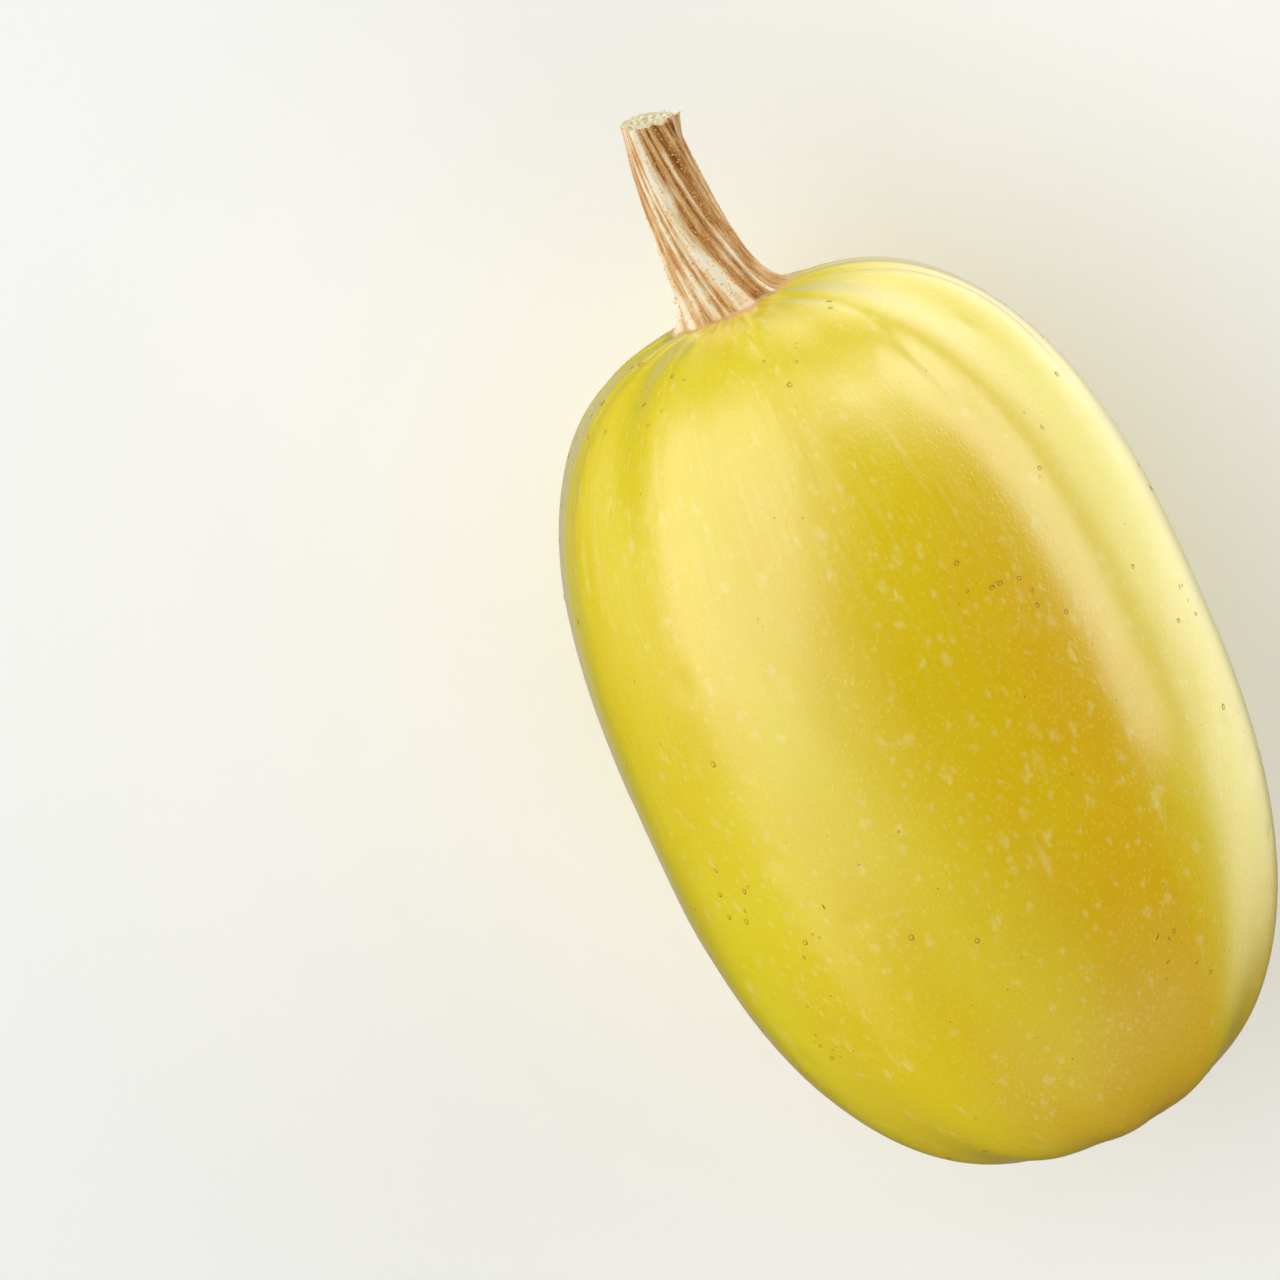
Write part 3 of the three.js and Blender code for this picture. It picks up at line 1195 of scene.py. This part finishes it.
    def build(self, rind: Callable[[Field], Field]) -> bpy.types.Object:
        """Builds the stem's mesh with the attributes its finish reads.

        Args:
            rind: gives how far points lie outside the fruit's rind.

        Returns:
            The stem's object.
        """
        heights = self.ring_heights()
        turn = np.arange(self.steps_around) * (2 * np.pi / self.steps_around)
        height, around = np.meshgrid(heights, turn, indexing="ij")
        wander = 0.05 * soft_noise(self.bark_place(height, around), (0.007, 0.007, 0.012), 4.0)
        radius, bleach = self.radius_at(height, around + wander)
        bark = self.bark_place(height, around)
        bleach *= 1 + 0.4 * soft_noise(bark, (0.0022, 0.0022, 0.011), 41.0)
        radius = radius + self.fibres(bark) * smooth_step(height, -2 * MM, 5 * MM)
        rings, directions = self.place(height, around, radius)
        near_cut = smooth_step(height, self.length - 7 * MM, self.length)
        torn = 0.5 * MM * soft_noise(bark, (0.0016, 0.0016, 0.02), 6.0)
        torn += 0.35 * MM * soft_noise(bark, (0.006, 0.006, 0.02), 16.0)
        slope = radius * (self.cut_slant * np.cos(around) - self.cut_tilt * np.sin(around))
        rings = rings + directions * (near_cut * (slope + torn))[..., None]
        cap, pith = self.cut_face(rings[-1], directions[-1, 0])
        first_pole = self.path(heights[:1] / self.length)[0][0]
        mesh = grid_mesh("stem_bark", np.concatenate([rings, cap]), first_pole, pith)
        blank = np.zeros((self.cut_rings, self.steps_around))
        over_rind = rind(rings)
        # A thin band on the bark just over the rind, where painted shade darkens the joint.
        fade = 1 - smooth_step(over_rind, 0.1 * MM, 0.8 * MM)
        groove = (1 - 0.8 * bleach) * smooth_step(over_rind, 0.0, 2 * MM)
        rim = blank + (np.arange(self.cut_rings) < self.cut_rings // 5)[:, None]
        store(mesh, "crest", np.concatenate([bleach, blank]), 0.0, 0.0)
        store(mesh, "cut", np.concatenate([0 * height, blank + 1]), 0.0, 1.0)
        store(mesh, "foot", np.concatenate([fade, blank]), 0.0, 0.0)
        store(mesh, "bark", np.concatenate([bark, np.repeat(bark[-1:], self.cut_rings, 0)]),
              (0, 0, 0), (0, 0, self.length))
        store(mesh, "sap", np.concatenate([groove, blank]), 0.0, 0.0)
        store(mesh, "rim", np.concatenate([0 * height, rim]), 0.0, 0.0)
        return add_object("stem_bark", mesh)

    def bark_place(self, height: Field, around: Field) -> Field:
        """Coordinates in metres that run along the winding fibres, with z up the stem.

        Args:
            height: height over the fruit's pole, in metres.
            around: angle round the stem.

        Returns:
            Points with xyz as the last axis.
        """
        turn = around + self.winding * height / self.length
        mean_radius = 8 * MM
        return np.stack([mean_radius * np.cos(turn), mean_radius * np.sin(turn), height], axis=-1)

    def ring_heights(self) -> Field:
        """Heights of the rings, closer together in the flare and at the cut.

        Returns:
            Heights over the fruit's pole, in metres.
        """
        share = np.linspace(0, 1, self.steps_along)
        eased = share - 0.09 * np.sin(2 * np.pi * share)
        return -self.root_depth + (self.length + self.root_depth) * eased

    def fibres(self, bark: Field) -> Field:
        """Height of the fine fibres that run along the bark.

        Args:
            bark: the bark's own coordinates at each point.

        Returns:
            The height in metres.
        """
        coarse = 0.17 * MM * soft_noise(bark, (0.0013, 0.0013, 0.016), 1.0)
        fine = 0.08 * MM * soft_noise(bark, (0.0006, 0.0006, 0.008), 2.0)
        swell = 0.25 * MM * soft_noise(bark, (0.006, 0.006, 0.009), 3.0)
        return coarse + fine + swell

    def cut_face(self, rim: Field, axis: Field) -> tuple[Field, Field]:
        """The rough face of the cut, from its rim to its hollow pith.

        Args:
            rim: the shell's last ring.
            axis: the stem's direction at the cut.

        Returns:
            The face's rings and its middle point.
        """
        centre = rim.mean(axis=0)
        shares = np.linspace(0, 1, self.cut_rings + 1)[1:]
        rings = centre + (rim - centre)[None] * (1 - shares[:, None, None] ** 0.9 * 0.985)
        depth = self.cut_hollow * smooth_step(shares, 0.15, 0.8)
        crumbs = 0.4 * MM * soft_noise(rings, (0.0016,) * 3, 12.0)
        crumbs += 0.25 * MM * soft_noise(rings, (0.0006,) * 3, 13.0)
        crumbs *= smooth_step(shares, 0.0, 0.1)[:, None]
        rings = rings + axis * (crumbs - depth[:, None])[..., None]
        return rings, rings[-1].mean(axis=0)


@dataclass
class BarkSliver:
    """A strip of bark that has split off beside the cut and stands a little away from the stem."""

    stem: Stem
    angle: float = math.radians(152)
    half_width: float = math.radians(17)
    below_cut: float = 8.0 * MM
    above_cut: float = 0.3 * MM
    curl: float = 2.3 * MM
    thickness: float = 0.8 * MM
    steps_across: int = 12
    steps_along: int = 30

    def build(self) -> bpy.types.Object:
        """Builds the strip as a thin closed plate, with the attributes that the bark has.

        Returns:
            The sliver's object.
        """
        share = np.linspace(0, 1, self.steps_along)[:, None]
        span = np.linspace(-1, 1, self.steps_across)
        across = np.concatenate([span, span[::-1]])[None]
        outer = np.where(np.arange(2 * self.steps_across) < self.steps_across, 0.5, -0.5)[None]
        reach = self.below_cut + self.above_cut
        height = self.stem.length - self.below_cut + reach * share + 0 * across
        around = self.angle + self.half_width * (0.55 + 0.45 * share) * across
        bark = self.stem.bark_place(height, around)
        bulge = np.sqrt(1 - 0.85 * across**2)
        radius = self.stem.radius_at(np.minimum(height, self.stem.length), around)[0]
        radius = radius.mean(axis=1, keepdims=True) + self.curl * share**1.5 - 0.2 * MM
        radius = radius + outer * bulge * self.thickness + self.stem.fibres(bark)
        rings, directions = self.stem.place(height, around, radius)
        torn = 0.9 * MM * soft_noise(bark, (0.0013, 0.0013, 0.03), 33.0) * share**4
        rings = rings + directions * torn[..., None]
        mesh = grid_mesh("bark_sliver", rings, rings[0].mean(axis=0), rings[-1].mean(axis=0))
        bleach = 0.22 + 0.25 * bump(np.abs(across), 1.0, 0.25) + 0 * share
        store(mesh, "bark", bark, bark[0].mean(axis=0), bark[-1].mean(axis=0))
        store(mesh, "crest", bleach, 0.3, 0.5)
        store(mesh, "cut", 0 * height, 0.0, 0.6)
        store(mesh, "foot", 0 * height, 0.0, 0.0)
        return add_object("bark_sliver", mesh)


# ---------------------------------------------------------------------------------------------
# Small things scattered by Geometry Nodes


class Stamp(Enum):
    """The small solids that are scattered."""

    RING = "ring"
    BEAD = "bead"
    SCAB = "scab"
    SPLINTER = "splinter"


def stamp_mesh(kind: Stamp) -> bpy.types.Mesh:
    """A unit solid, 1 across or 1 long, that a scatter repeats.

    Args:
        kind: which solid.

    Returns:
        Its closed mesh, standing on z = 0 or centred on it.
    """
    if kind is Stamp.RING:
        steps, sides = 14, 6
        turn = np.arange(steps) * (2 * np.pi / steps)
        tube = np.arange(sides) * (2 * np.pi / sides)
        big, small = np.meshgrid(turn, tube, indexing="ij")
        tube_radius = 0.07 * (1 + 0.5 * np.sin(big))
        wide = 0.42 * (1 + 0.1 * np.sin(2 * big + 0.7)) + tube_radius * np.cos(small)
        points = np.stack([wide * np.cos(big), wide * np.sin(big), 0.06 * np.sin(small)], -1)
        faces = [
            (i * sides + j, (i + 1) % steps * sides + j,
             (i + 1) % steps * sides + (j + 1) % sides, i * sides + (j + 1) % sides)
            for i in range(steps) for j in range(sides)
        ]
        mesh = bpy.data.meshes.new("ring_stamp")
        mesh.from_pydata(points.reshape(-1, 3).tolist(), [], faces)
    elif kind in (Stamp.BEAD, Stamp.SCAB):
        narrow, low = (1.0, 1.0) if kind is Stamp.BEAD else (0.24, 0.2)
        sides = 8
        around = np.arange(sides) * (2 * np.pi / sides)
        levels = np.array([-0.6, 0.1, 0.75])
        wide, turn = np.meshgrid(np.sqrt(1 - levels**2) / 2, around, indexing="ij")
        bend = 0.25 * (1 - narrow) * (wide * np.cos(turn)) ** 2
        rings = np.stack([wide * np.cos(turn), narrow * wide * np.sin(turn) + bend,
                          np.repeat(low * levels[:, None] / 3, sides, 1)], -1)
        mesh = grid_mesh(kind.value + "_stamp", rings, np.array([0, 0, -low / 3]),
                         np.array([0, 0, low / 3]))
    else:
        sides = 5
        around = np.arange(sides) * (2 * np.pi / sides)
        levels = np.array([0.0, 0.35, 0.7])
        wide, turn = np.meshgrid(np.array([0.09, 0.08, 0.04]), around, indexing="ij")
        rings = np.stack([wide * np.cos(turn) + 0.05 * levels[:, None] ** 2,
                          wide * np.sin(turn), np.repeat(levels[:, None], sides, 1)], -1)
        mesh = grid_mesh("splinter_stamp", rings, np.array([0, 0, -0.05]), np.array([0.1, 0, 1.0]))
    mesh.polygons.foreach_set("use_smooth", np.ones(len(mesh.polygons), bool))
    return mesh


@dataclass
class Scatter:
    """Copies of a small solid spread over a host's surface by a Geometry Nodes tree."""

    name: str
    host: bpy.types.Object
    stamp: Stamp
    density_attribute: str
    per_square_metre: float
    smallest: float
    largest: float
    seed: int
    finish: bpy.types.Material

    def tree(self) -> bpy.types.NodeTree:
        """Builds the tree, with its sizes as named inputs.

        Returns:
            The Geometry Nodes tree.
        """
        tree = bpy.data.node_groups.new(self.name, "GeometryNodeTree")
        face = tree.interface
        face.new_socket("Geometry", in_out="INPUT", socket_type="NodeSocketGeometry")
        face.new_socket("Stamp", in_out="INPUT", socket_type="NodeSocketObject")
        for label in ("Density", "Smallest", "Largest"):
            face.new_socket(label, in_out="INPUT", socket_type="NodeSocketFloat")
        face.new_socket("Seed", in_out="INPUT", socket_type="NodeSocketInt")
        face.new_socket("Finish", in_out="INPUT", socket_type="NodeSocketMaterial")
        face.new_socket("Geometry", in_out="OUTPUT", socket_type="NodeSocketGeometry")
        given = add_node(tree, "NodeGroupInput").outputs
        share = add_node(tree, "GeometryNodeInputNamedAttribute", {"data_type": "FLOAT"}, {
            "Name": self.density_attribute}).outputs[0]
        density = add_node(tree, "ShaderNodeMath", {"operation": "MULTIPLY"}, {
            0: share, 1: given["Density"]}).outputs[0]
        spread = add_node(tree, "GeometryNodeDistributePointsOnFaces", inputs={
            "Mesh": given["Geometry"], "Density": density, "Seed": given["Seed"]})
        spin = add_node(tree, "FunctionNodeRandomValue", {"data_type": "FLOAT"}, {
            "Min": 0.0, "Max": 2 * math.pi, "Seed": given["Seed"]})
        yaw = add_node(tree, "ShaderNodeCombineXYZ", inputs={"Z": spin.outputs["Value"]})
        turned = add_node(tree, "FunctionNodeRotateRotation", {"rotation_space": "LOCAL"}, {
            0: spread.outputs["Rotation"], 1: yaw.outputs[0]})
        size = add_node(tree, "FunctionNodeRandomValue", {"data_type": "FLOAT"}, {
            "Min": given["Smallest"], "Max": given["Largest"], "Seed": given["Seed"]})
        shape = add_node(tree, "GeometryNodeObjectInfo", {"transform_space": "ORIGINAL"}, {
            "Object": given["Stamp"]})
        copies = add_node(tree, "GeometryNodeInstanceOnPoints", inputs={
            "Points": spread.outputs["Points"], "Instance": shape.outputs["Geometry"],
            "Rotation": turned.outputs[0], "Scale": size.outputs["Value"]})
        solid = add_node(tree, "GeometryNodeRealizeInstances", inputs={
            "Geometry": copies.outputs[0]})
        dressed = add_node(tree, "GeometryNodeSetMaterial", inputs={
            "Geometry": solid.outputs[0], "Material": given["Finish"]})
        add_node(tree, "NodeGroupOutput", inputs={"Geometry": dressed.outputs[0]})
        return tree

    def build(self) -> bpy.types.Object:
        """Scatters the copies and returns them as one plain mesh object.

        Returns:
            The copies' object, at the origin.
        """
        stamp = add_object(self.name + "_stamp", stamp_mesh(self.stamp))
        carrier = add_object(self.name + "_carrier", self.host.data.copy())
        modifier = carrier.modifiers.new("scatter", "NODES")
        modifier.node_group = self.tree()
        sizes = {
            "Stamp": stamp, "Density": self.per_square_metre, "Smallest": self.smallest,
            "Largest": self.largest, "Seed": self.seed, "Finish": self.finish,
        }
        for item in modifier.node_group.interface.items_tree:
            if item.in_out == "INPUT" and item.name in sizes:
                modifier[item.identifier] = sizes[item.name]
        carrier.update_tag()
        graph = bpy.context.evaluated_depsgraph_get()
        mesh = bpy.data.meshes.new_from_object(carrier.evaluated_get(graph))
        mesh.name = self.name
        carrier.modifiers.remove(modifier)
        for helper in (carrier, stamp):
            bpy.data.objects.remove(helper)
        for attribute in [a.name for a in mesh.attributes if a.name in ("skin", "bark")]:
            mesh.attributes.remove(mesh.attributes[attribute])
        mesh.polygons.foreach_set("use_smooth", np.ones(len(mesh.polygons), bool))
        return add_object(self.name, mesh)


# ---------------------------------------------------------------------------------------------
# The studio


@dataclass(frozen=True)
class Softbox:
    """A soft panel light, placed round the squash by compass and elevation in degrees.

    The compass turns from the picture's right (0) to its top (90). The panel faces the squash,
    which shows its mirror image as sheen unless the panel is a mere fill.
    """

    name: str
    compass: float
    elevation: float
    distance: float
    wide: float
    tall: float
    watts: float
    in_sheen: bool = True


@dataclass
class Studio:
    """Pale floor, soft lights and the camera that looks down on the squash.

    The camera stands over the fruit, tipped a little towards the stem's end, and the fruit leans
    in its picture. A depth is the height of a ray's direction, 0 level and -1 straight down.
    """

    centre: Vector
    lean: float = math.radians(26.25)
    tip: float = math.radians(11.0)
    lens: float = 150.0
    sensor: float = 36.0
    frame_width: float = 0.3028
    right_of_middle: float = 0.0685
    below_middle: float = 0.0208
    floor_radius: float = 1.7
    floor_sides: int = 96
    floor_hue: str = "#F6F6F4"
    room_light: float = 0.8
    room_dark: float = 0.04
    room_dark_compass: float = math.radians(-15)
    room_edges: tuple[float, float] = (-0.55, -0.05)
    sheen_light: float = 2.0
    sheen_dark: float = 0.03
    rim_light: float = 0.38
    rim_depths: tuple[float, float] = (-0.84, -0.99)
    sheen_compass: float = math.radians(46)
    sheen_edges: tuple[float, float] = (0.1, 0.8)
    sheen_at_horizon: float = 0.12
    sheen_depths: tuple[float, float] = (-0.1, -0.5)
    backdrop: float = 0.93
    softboxes: tuple[Softbox, ...] = (
        Softbox("softbox_right", compass=47, elevation=16, distance=1.25,
                wide=2.0, tall=0.7, watts=11.7),
        Softbox("softbox_left", compass=168, elevation=26, distance=1.3,
                wide=1.9, tall=1.5, watts=8.5),
        Softbox("softbox_left_wide", compass=168, elevation=24, distance=1.4,
                wide=2.9, tall=2.7, watts=11.0),
        Softbox("softbox_top", compass=86, elevation=24, distance=1.4,
                wide=1.1, tall=0.8, watts=2.7),
        Softbox("softbox_front", compass=302, elevation=14, distance=1.4,
                wide=1.5, tall=0.9, watts=10, in_sheen=False),
        Softbox("softbox_overhead", compass=280, elevation=50, distance=1.4,
                wide=1.4, tall=1.0, watts=4.4, in_sheen=False),
    )

    def axes(self) -> tuple[Vector, Vector, Vector]:
        """The picture's right, its up, and the direction from the squash to the camera.

        Returns:
            Three unit vectors at right angles.
        """
        back = Vector((-math.sin(self.tip), 0.0, math.cos(self.tip)))
        stemward = Vector((-1.0, 0.0, 0.0))
        along = (stemward - back * stemward.dot(back)).normalized()
        beside = along.cross(back)
        up = along * math.cos(self.lean) + beside * math.sin(self.lean)
        return up.cross(back), up, back

    def camera(self) -> None:
        """Makes the camera, aimed so that the squash lies right of the picture's middle."""
        right, up, back = self.axes()
        data = bpy.data.cameras.new("camera")
        data.lens, data.sensor_width = self.lens, self.sensor
        data.clip_start, data.clip_end = 0.01, 50.0
        camera = bpy.data.objects.new("camera", data)
        bpy.context.scene.collection.objects.link(camera)
        reach = self.frame_width * self.lens / self.sensor
        aim = self.centre - right * self.right_of_middle + up * self.below_middle
        turned = Matrix((right, up, back)).transposed().to_4x4()
        camera.matrix_world = Matrix.Translation(aim + back * reach) @ turned
        bpy.context.scene.camera = camera

    def light(self, box: Softbox) -> None:
        """Makes one soft panel light.

        Args:
            box: where it stands, its size and its power.
        """
        right, up, _ = self.axes()
        flat_right = Vector((right.x, right.y, 0)).normalized()
        flat_up = Vector((up.x, up.y, 0)).normalized()
        bearing, rise = math.radians(box.compass), math.radians(box.elevation)
        level = flat_right * math.cos(bearing) + flat_up * math.sin(bearing)
        outward = level * math.cos(rise) + Vector((0, 0, math.sin(rise)))
        data = bpy.data.lights.new(box.name, "AREA")
        data.shape, data.size, data.size_y = "RECTANGLE", box.wide, box.tall
        data.energy = box.watts
        lamp = bpy.data.objects.new(box.name, data)
        lamp.location = self.centre + outward * box.distance
        lamp.visible_camera, lamp.visible_glossy = False, box.in_sheen
        lamp.rotation_mode = "QUATERNION"
        lamp.rotation_quaternion = outward.to_track_quat("Z", "Y")
        bpy.context.scene.collection.objects.link(lamp)

    def floor(self) -> bpy.types.Object:
        """A wide disc of matt white board under the squash.

        Returns:
            The board's object.
        """
        turn = np.arange(self.floor_sides) * (2 * np.pi / self.floor_sides)
        rim = np.stack([np.cos(turn), np.sin(turn), 0 * turn], -1) * self.floor_radius
        mesh = bpy.data.meshes.new("floor")
        mesh.from_pydata(rim.tolist(), [], [tuple(range(self.floor_sides))])
        board = add_object("floor", mesh)
        material, tree = new_material("white_board")
        paper = add_node(tree, "ShaderNodeBsdfPrincipled", inputs={
            "Base Color": linear(self.floor_hue), "Roughness": 0.7})
        add_node(tree, "ShaderNodeOutputMaterial", inputs={"Surface": paper.outputs[0]})
        mesh.materials.append(material)
        board.visible_glossy = False
        return board

    def room(self) -> None:
        """Surroundings with a light wall on the picture's left and a dark one on its right.

        The lower half shows only in the squash's sheen, because the board hides it otherwise. It is
        light on the right softbox's side, fades near the horizon and has a pale spot straight
        below, which lights the outline as a white table would.
        """
        world = bpy.data.worlds.new("studio")
        world.use_nodes = True
        world.cycles.sampling_method = "NONE"
        tree = world.node_tree
        tree.nodes.clear()
        ray = add_node(tree, "ShaderNodeTexCoord").outputs["Generated"]
        height = add_node(tree, "ShaderNodeSeparateXYZ", inputs={"Vector": ray}).outputs["Z"]
        upper, lower = (
            self.lit_side(tree, ray, compass, edges, far, near)
            for compass, edges, far, near in (
                (self.room_dark_compass, self.room_edges, self.room_light, self.room_dark),
                (self.sheen_compass, self.sheen_edges, self.sheen_dark, self.sheen_light),
            )
        )
        depth = add_node(tree, "ShaderNodeMapRange", {"interpolation_type": "SMOOTHSTEP"}, {
            "Value": height, "From Min": self.sheen_depths[0], "From Max": self.sheen_depths[1],
            "To Min": self.sheen_at_horizon}).outputs[0]
        rim = add_node(tree, "ShaderNodeMapRange", {"interpolation_type": "SMOOTHSTEP"}, {
            "Value": height, "From Min": self.rim_depths[0], "From Max": self.rim_depths[1],
            "To Max": self.rim_light}).outputs[0]
        lower = add_node(tree, "ShaderNodeMath", {"operation": "MULTIPLY_ADD"}, {
            0: lower, 1: depth, 2: rim}).outputs[0]
        below = add_node(tree, "ShaderNodeMath", {"operation": "LESS_THAN"}, {
            0: height, 1: 0.0}).outputs[0]
        strength = add_node(tree, "ShaderNodeMix", {"data_type": "FLOAT"}, {
            0: below, 2: upper, 3: lower}).outputs[0]
        seen = add_node(tree, "ShaderNodeLightPath").outputs["Is Camera Ray"]
        shown = add_node(tree, "ShaderNodeMix", {"data_type": "FLOAT"}, {
            0: seen, 2: strength, 3: self.backdrop}).outputs[0]
        shell = add_node(tree, "ShaderNodeBackground", inputs={
            "Color": linear("#FFFFFF"), "Strength": shown})
        add_node(tree, "ShaderNodeOutputWorld", inputs={"Surface": shell.outputs[0]})
        bpy.context.scene.world = world

    def lit_side(
        self,
        tree: bpy.types.NodeTree,
        ray: bpy.types.NodeSocket,
        compass: float,
        edges: tuple[float, float],
        far: float,
        near: float,
    ) -> bpy.types.NodeSocket:
        """Brightness that changes smoothly from one side of the room to the other.

        Args:
            tree: the world's tree.
            ray: the direction that a ray leaves in.
            compass: the side that gets the near brightness, as an angle in the picture.
            edges: the shares of the way to that side where the change starts and ends.
            far: brightness on the far side.
            near: brightness on the near side.

        Returns:
            The brightness's socket.
        """
        right, up, _ = self.axes()
        side = right * math.cos(compass) + up * math.sin(compass)
        share = add_node(tree, "ShaderNodeVectorMath", {"operation": "DOT_PRODUCT"}, {
            0: ray, 1: Vector((side.x, side.y, 0.0)).normalized()}).outputs["Value"]
        return add_node(tree, "ShaderNodeMapRange", {"interpolation_type": "SMOOTHSTEP"}, {
            "Value": share, "From Min": edges[0], "From Max": edges[1],
            "To Min": far, "To Max": near}).outputs[0]

    def build(self) -> None:
        """Makes the whole studio."""
        view = bpy.context.scene.view_settings
        view.view_transform, view.look = "Standard", "None"
        self.camera()
        self.room()
        for box in self.softboxes:
            self.light(box)
        self.floor()


# ---------------------------------------------------------------------------------------------


def mean_vertex(node: str, from_x: float, to_x: float) -> Vector:
    """The mean of a CAD node's vertices between two stations along X.

    Args:
        node: the node's name.
        from_x: the lower station, in metres.
        to_x: the higher station, in metres.

    Returns:
        The mean place.
    """
    inside = [v.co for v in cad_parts[node].data.vertices if from_x <= v.co.x <= to_x]
    return sum(inside, Vector()) / len(inside)


def settle_piece(thing: bpy.types.Object, finish: bpy.types.Material | None) -> None:
    """Dresses a finished piece, ties it to its body and reports it.

    Args:
        thing: the piece's object.
        finish: its material, or None if it already has one.
    """
    if finish:
        thing.data.materials.clear()
        thing.data.materials.append(finish)
    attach(thing, BODY)
    log.info("%s: %d faces", thing.name, len(thing.data.polygons))


def main() -> None:
    """Builds the studio, the fruit, the stem and their small marks in order."""
    logging.basicConfig(level=logging.INFO, format="%(name)s: %(message)s")
    fruit_low, fruit_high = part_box("fruit")
    stem_low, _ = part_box("stem")
    fruit = Fruit(fruit_low, fruit_high)
    cut_centre = mean_vertex("stem", stem_low.x, stem_low.x + 1.2 * MM)
    foot = Vector(fruit.place(np.zeros(1), np.zeros(1))[0])
    stem = Stem(foot, cut_centre)
    Studio(Vector((0.0, 0.0, fruit.axis_height))).build()

    fruit_skin = fruit.build(stem.clearance)
    settle_piece(fruit_skin, WaxyRind().material())
    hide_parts("fruit")

    cork = CorkyStem().material()
    stem_bark = stem.build(fruit.clearance)
    settle_piece(stem_bark, cork)
    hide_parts("stem")
    settle_piece(BarkSliver(stem).build(), cork)

    cork_mark = CORK_MARK.material()
    for slot, scatter in (
        (Slot.RIND, Scatter(
            "insect_marks", fruit_skin, Stamp.RING, "marks", per_square_metre=17000,
            smallest=0.6 * MM, largest=1.6 * MM, seed=5, finish=cork_mark)),
        (Slot.RIND, Scatter(
            "scratch_scabs", fruit_skin, Stamp.SCAB, "marks", per_square_metre=3000,
            smallest=0.9 * MM, largest=2.0 * MM, seed=8, finish=cork_mark)),
        (Slot.STEM, Scatter(
            "sap_beads", stem_bark, Stamp.BEAD, "sap", per_square_metre=1.2e6,
            smallest=0.2 * MM, largest=0.48 * MM, seed=3, finish=DRIED_SAP.material())),
        (Slot.STEM, Scatter(
            "torn_fibres", stem_bark, Stamp.SPLINTER, "rim", per_square_metre=3e6,
            smallest=0.3 * MM, largest=0.8 * MM, seed=6, finish=TORN_FIBRE.material())),
    ):
        settle_piece(scatter.build(), None)


if __name__ == "__main__":
    main()
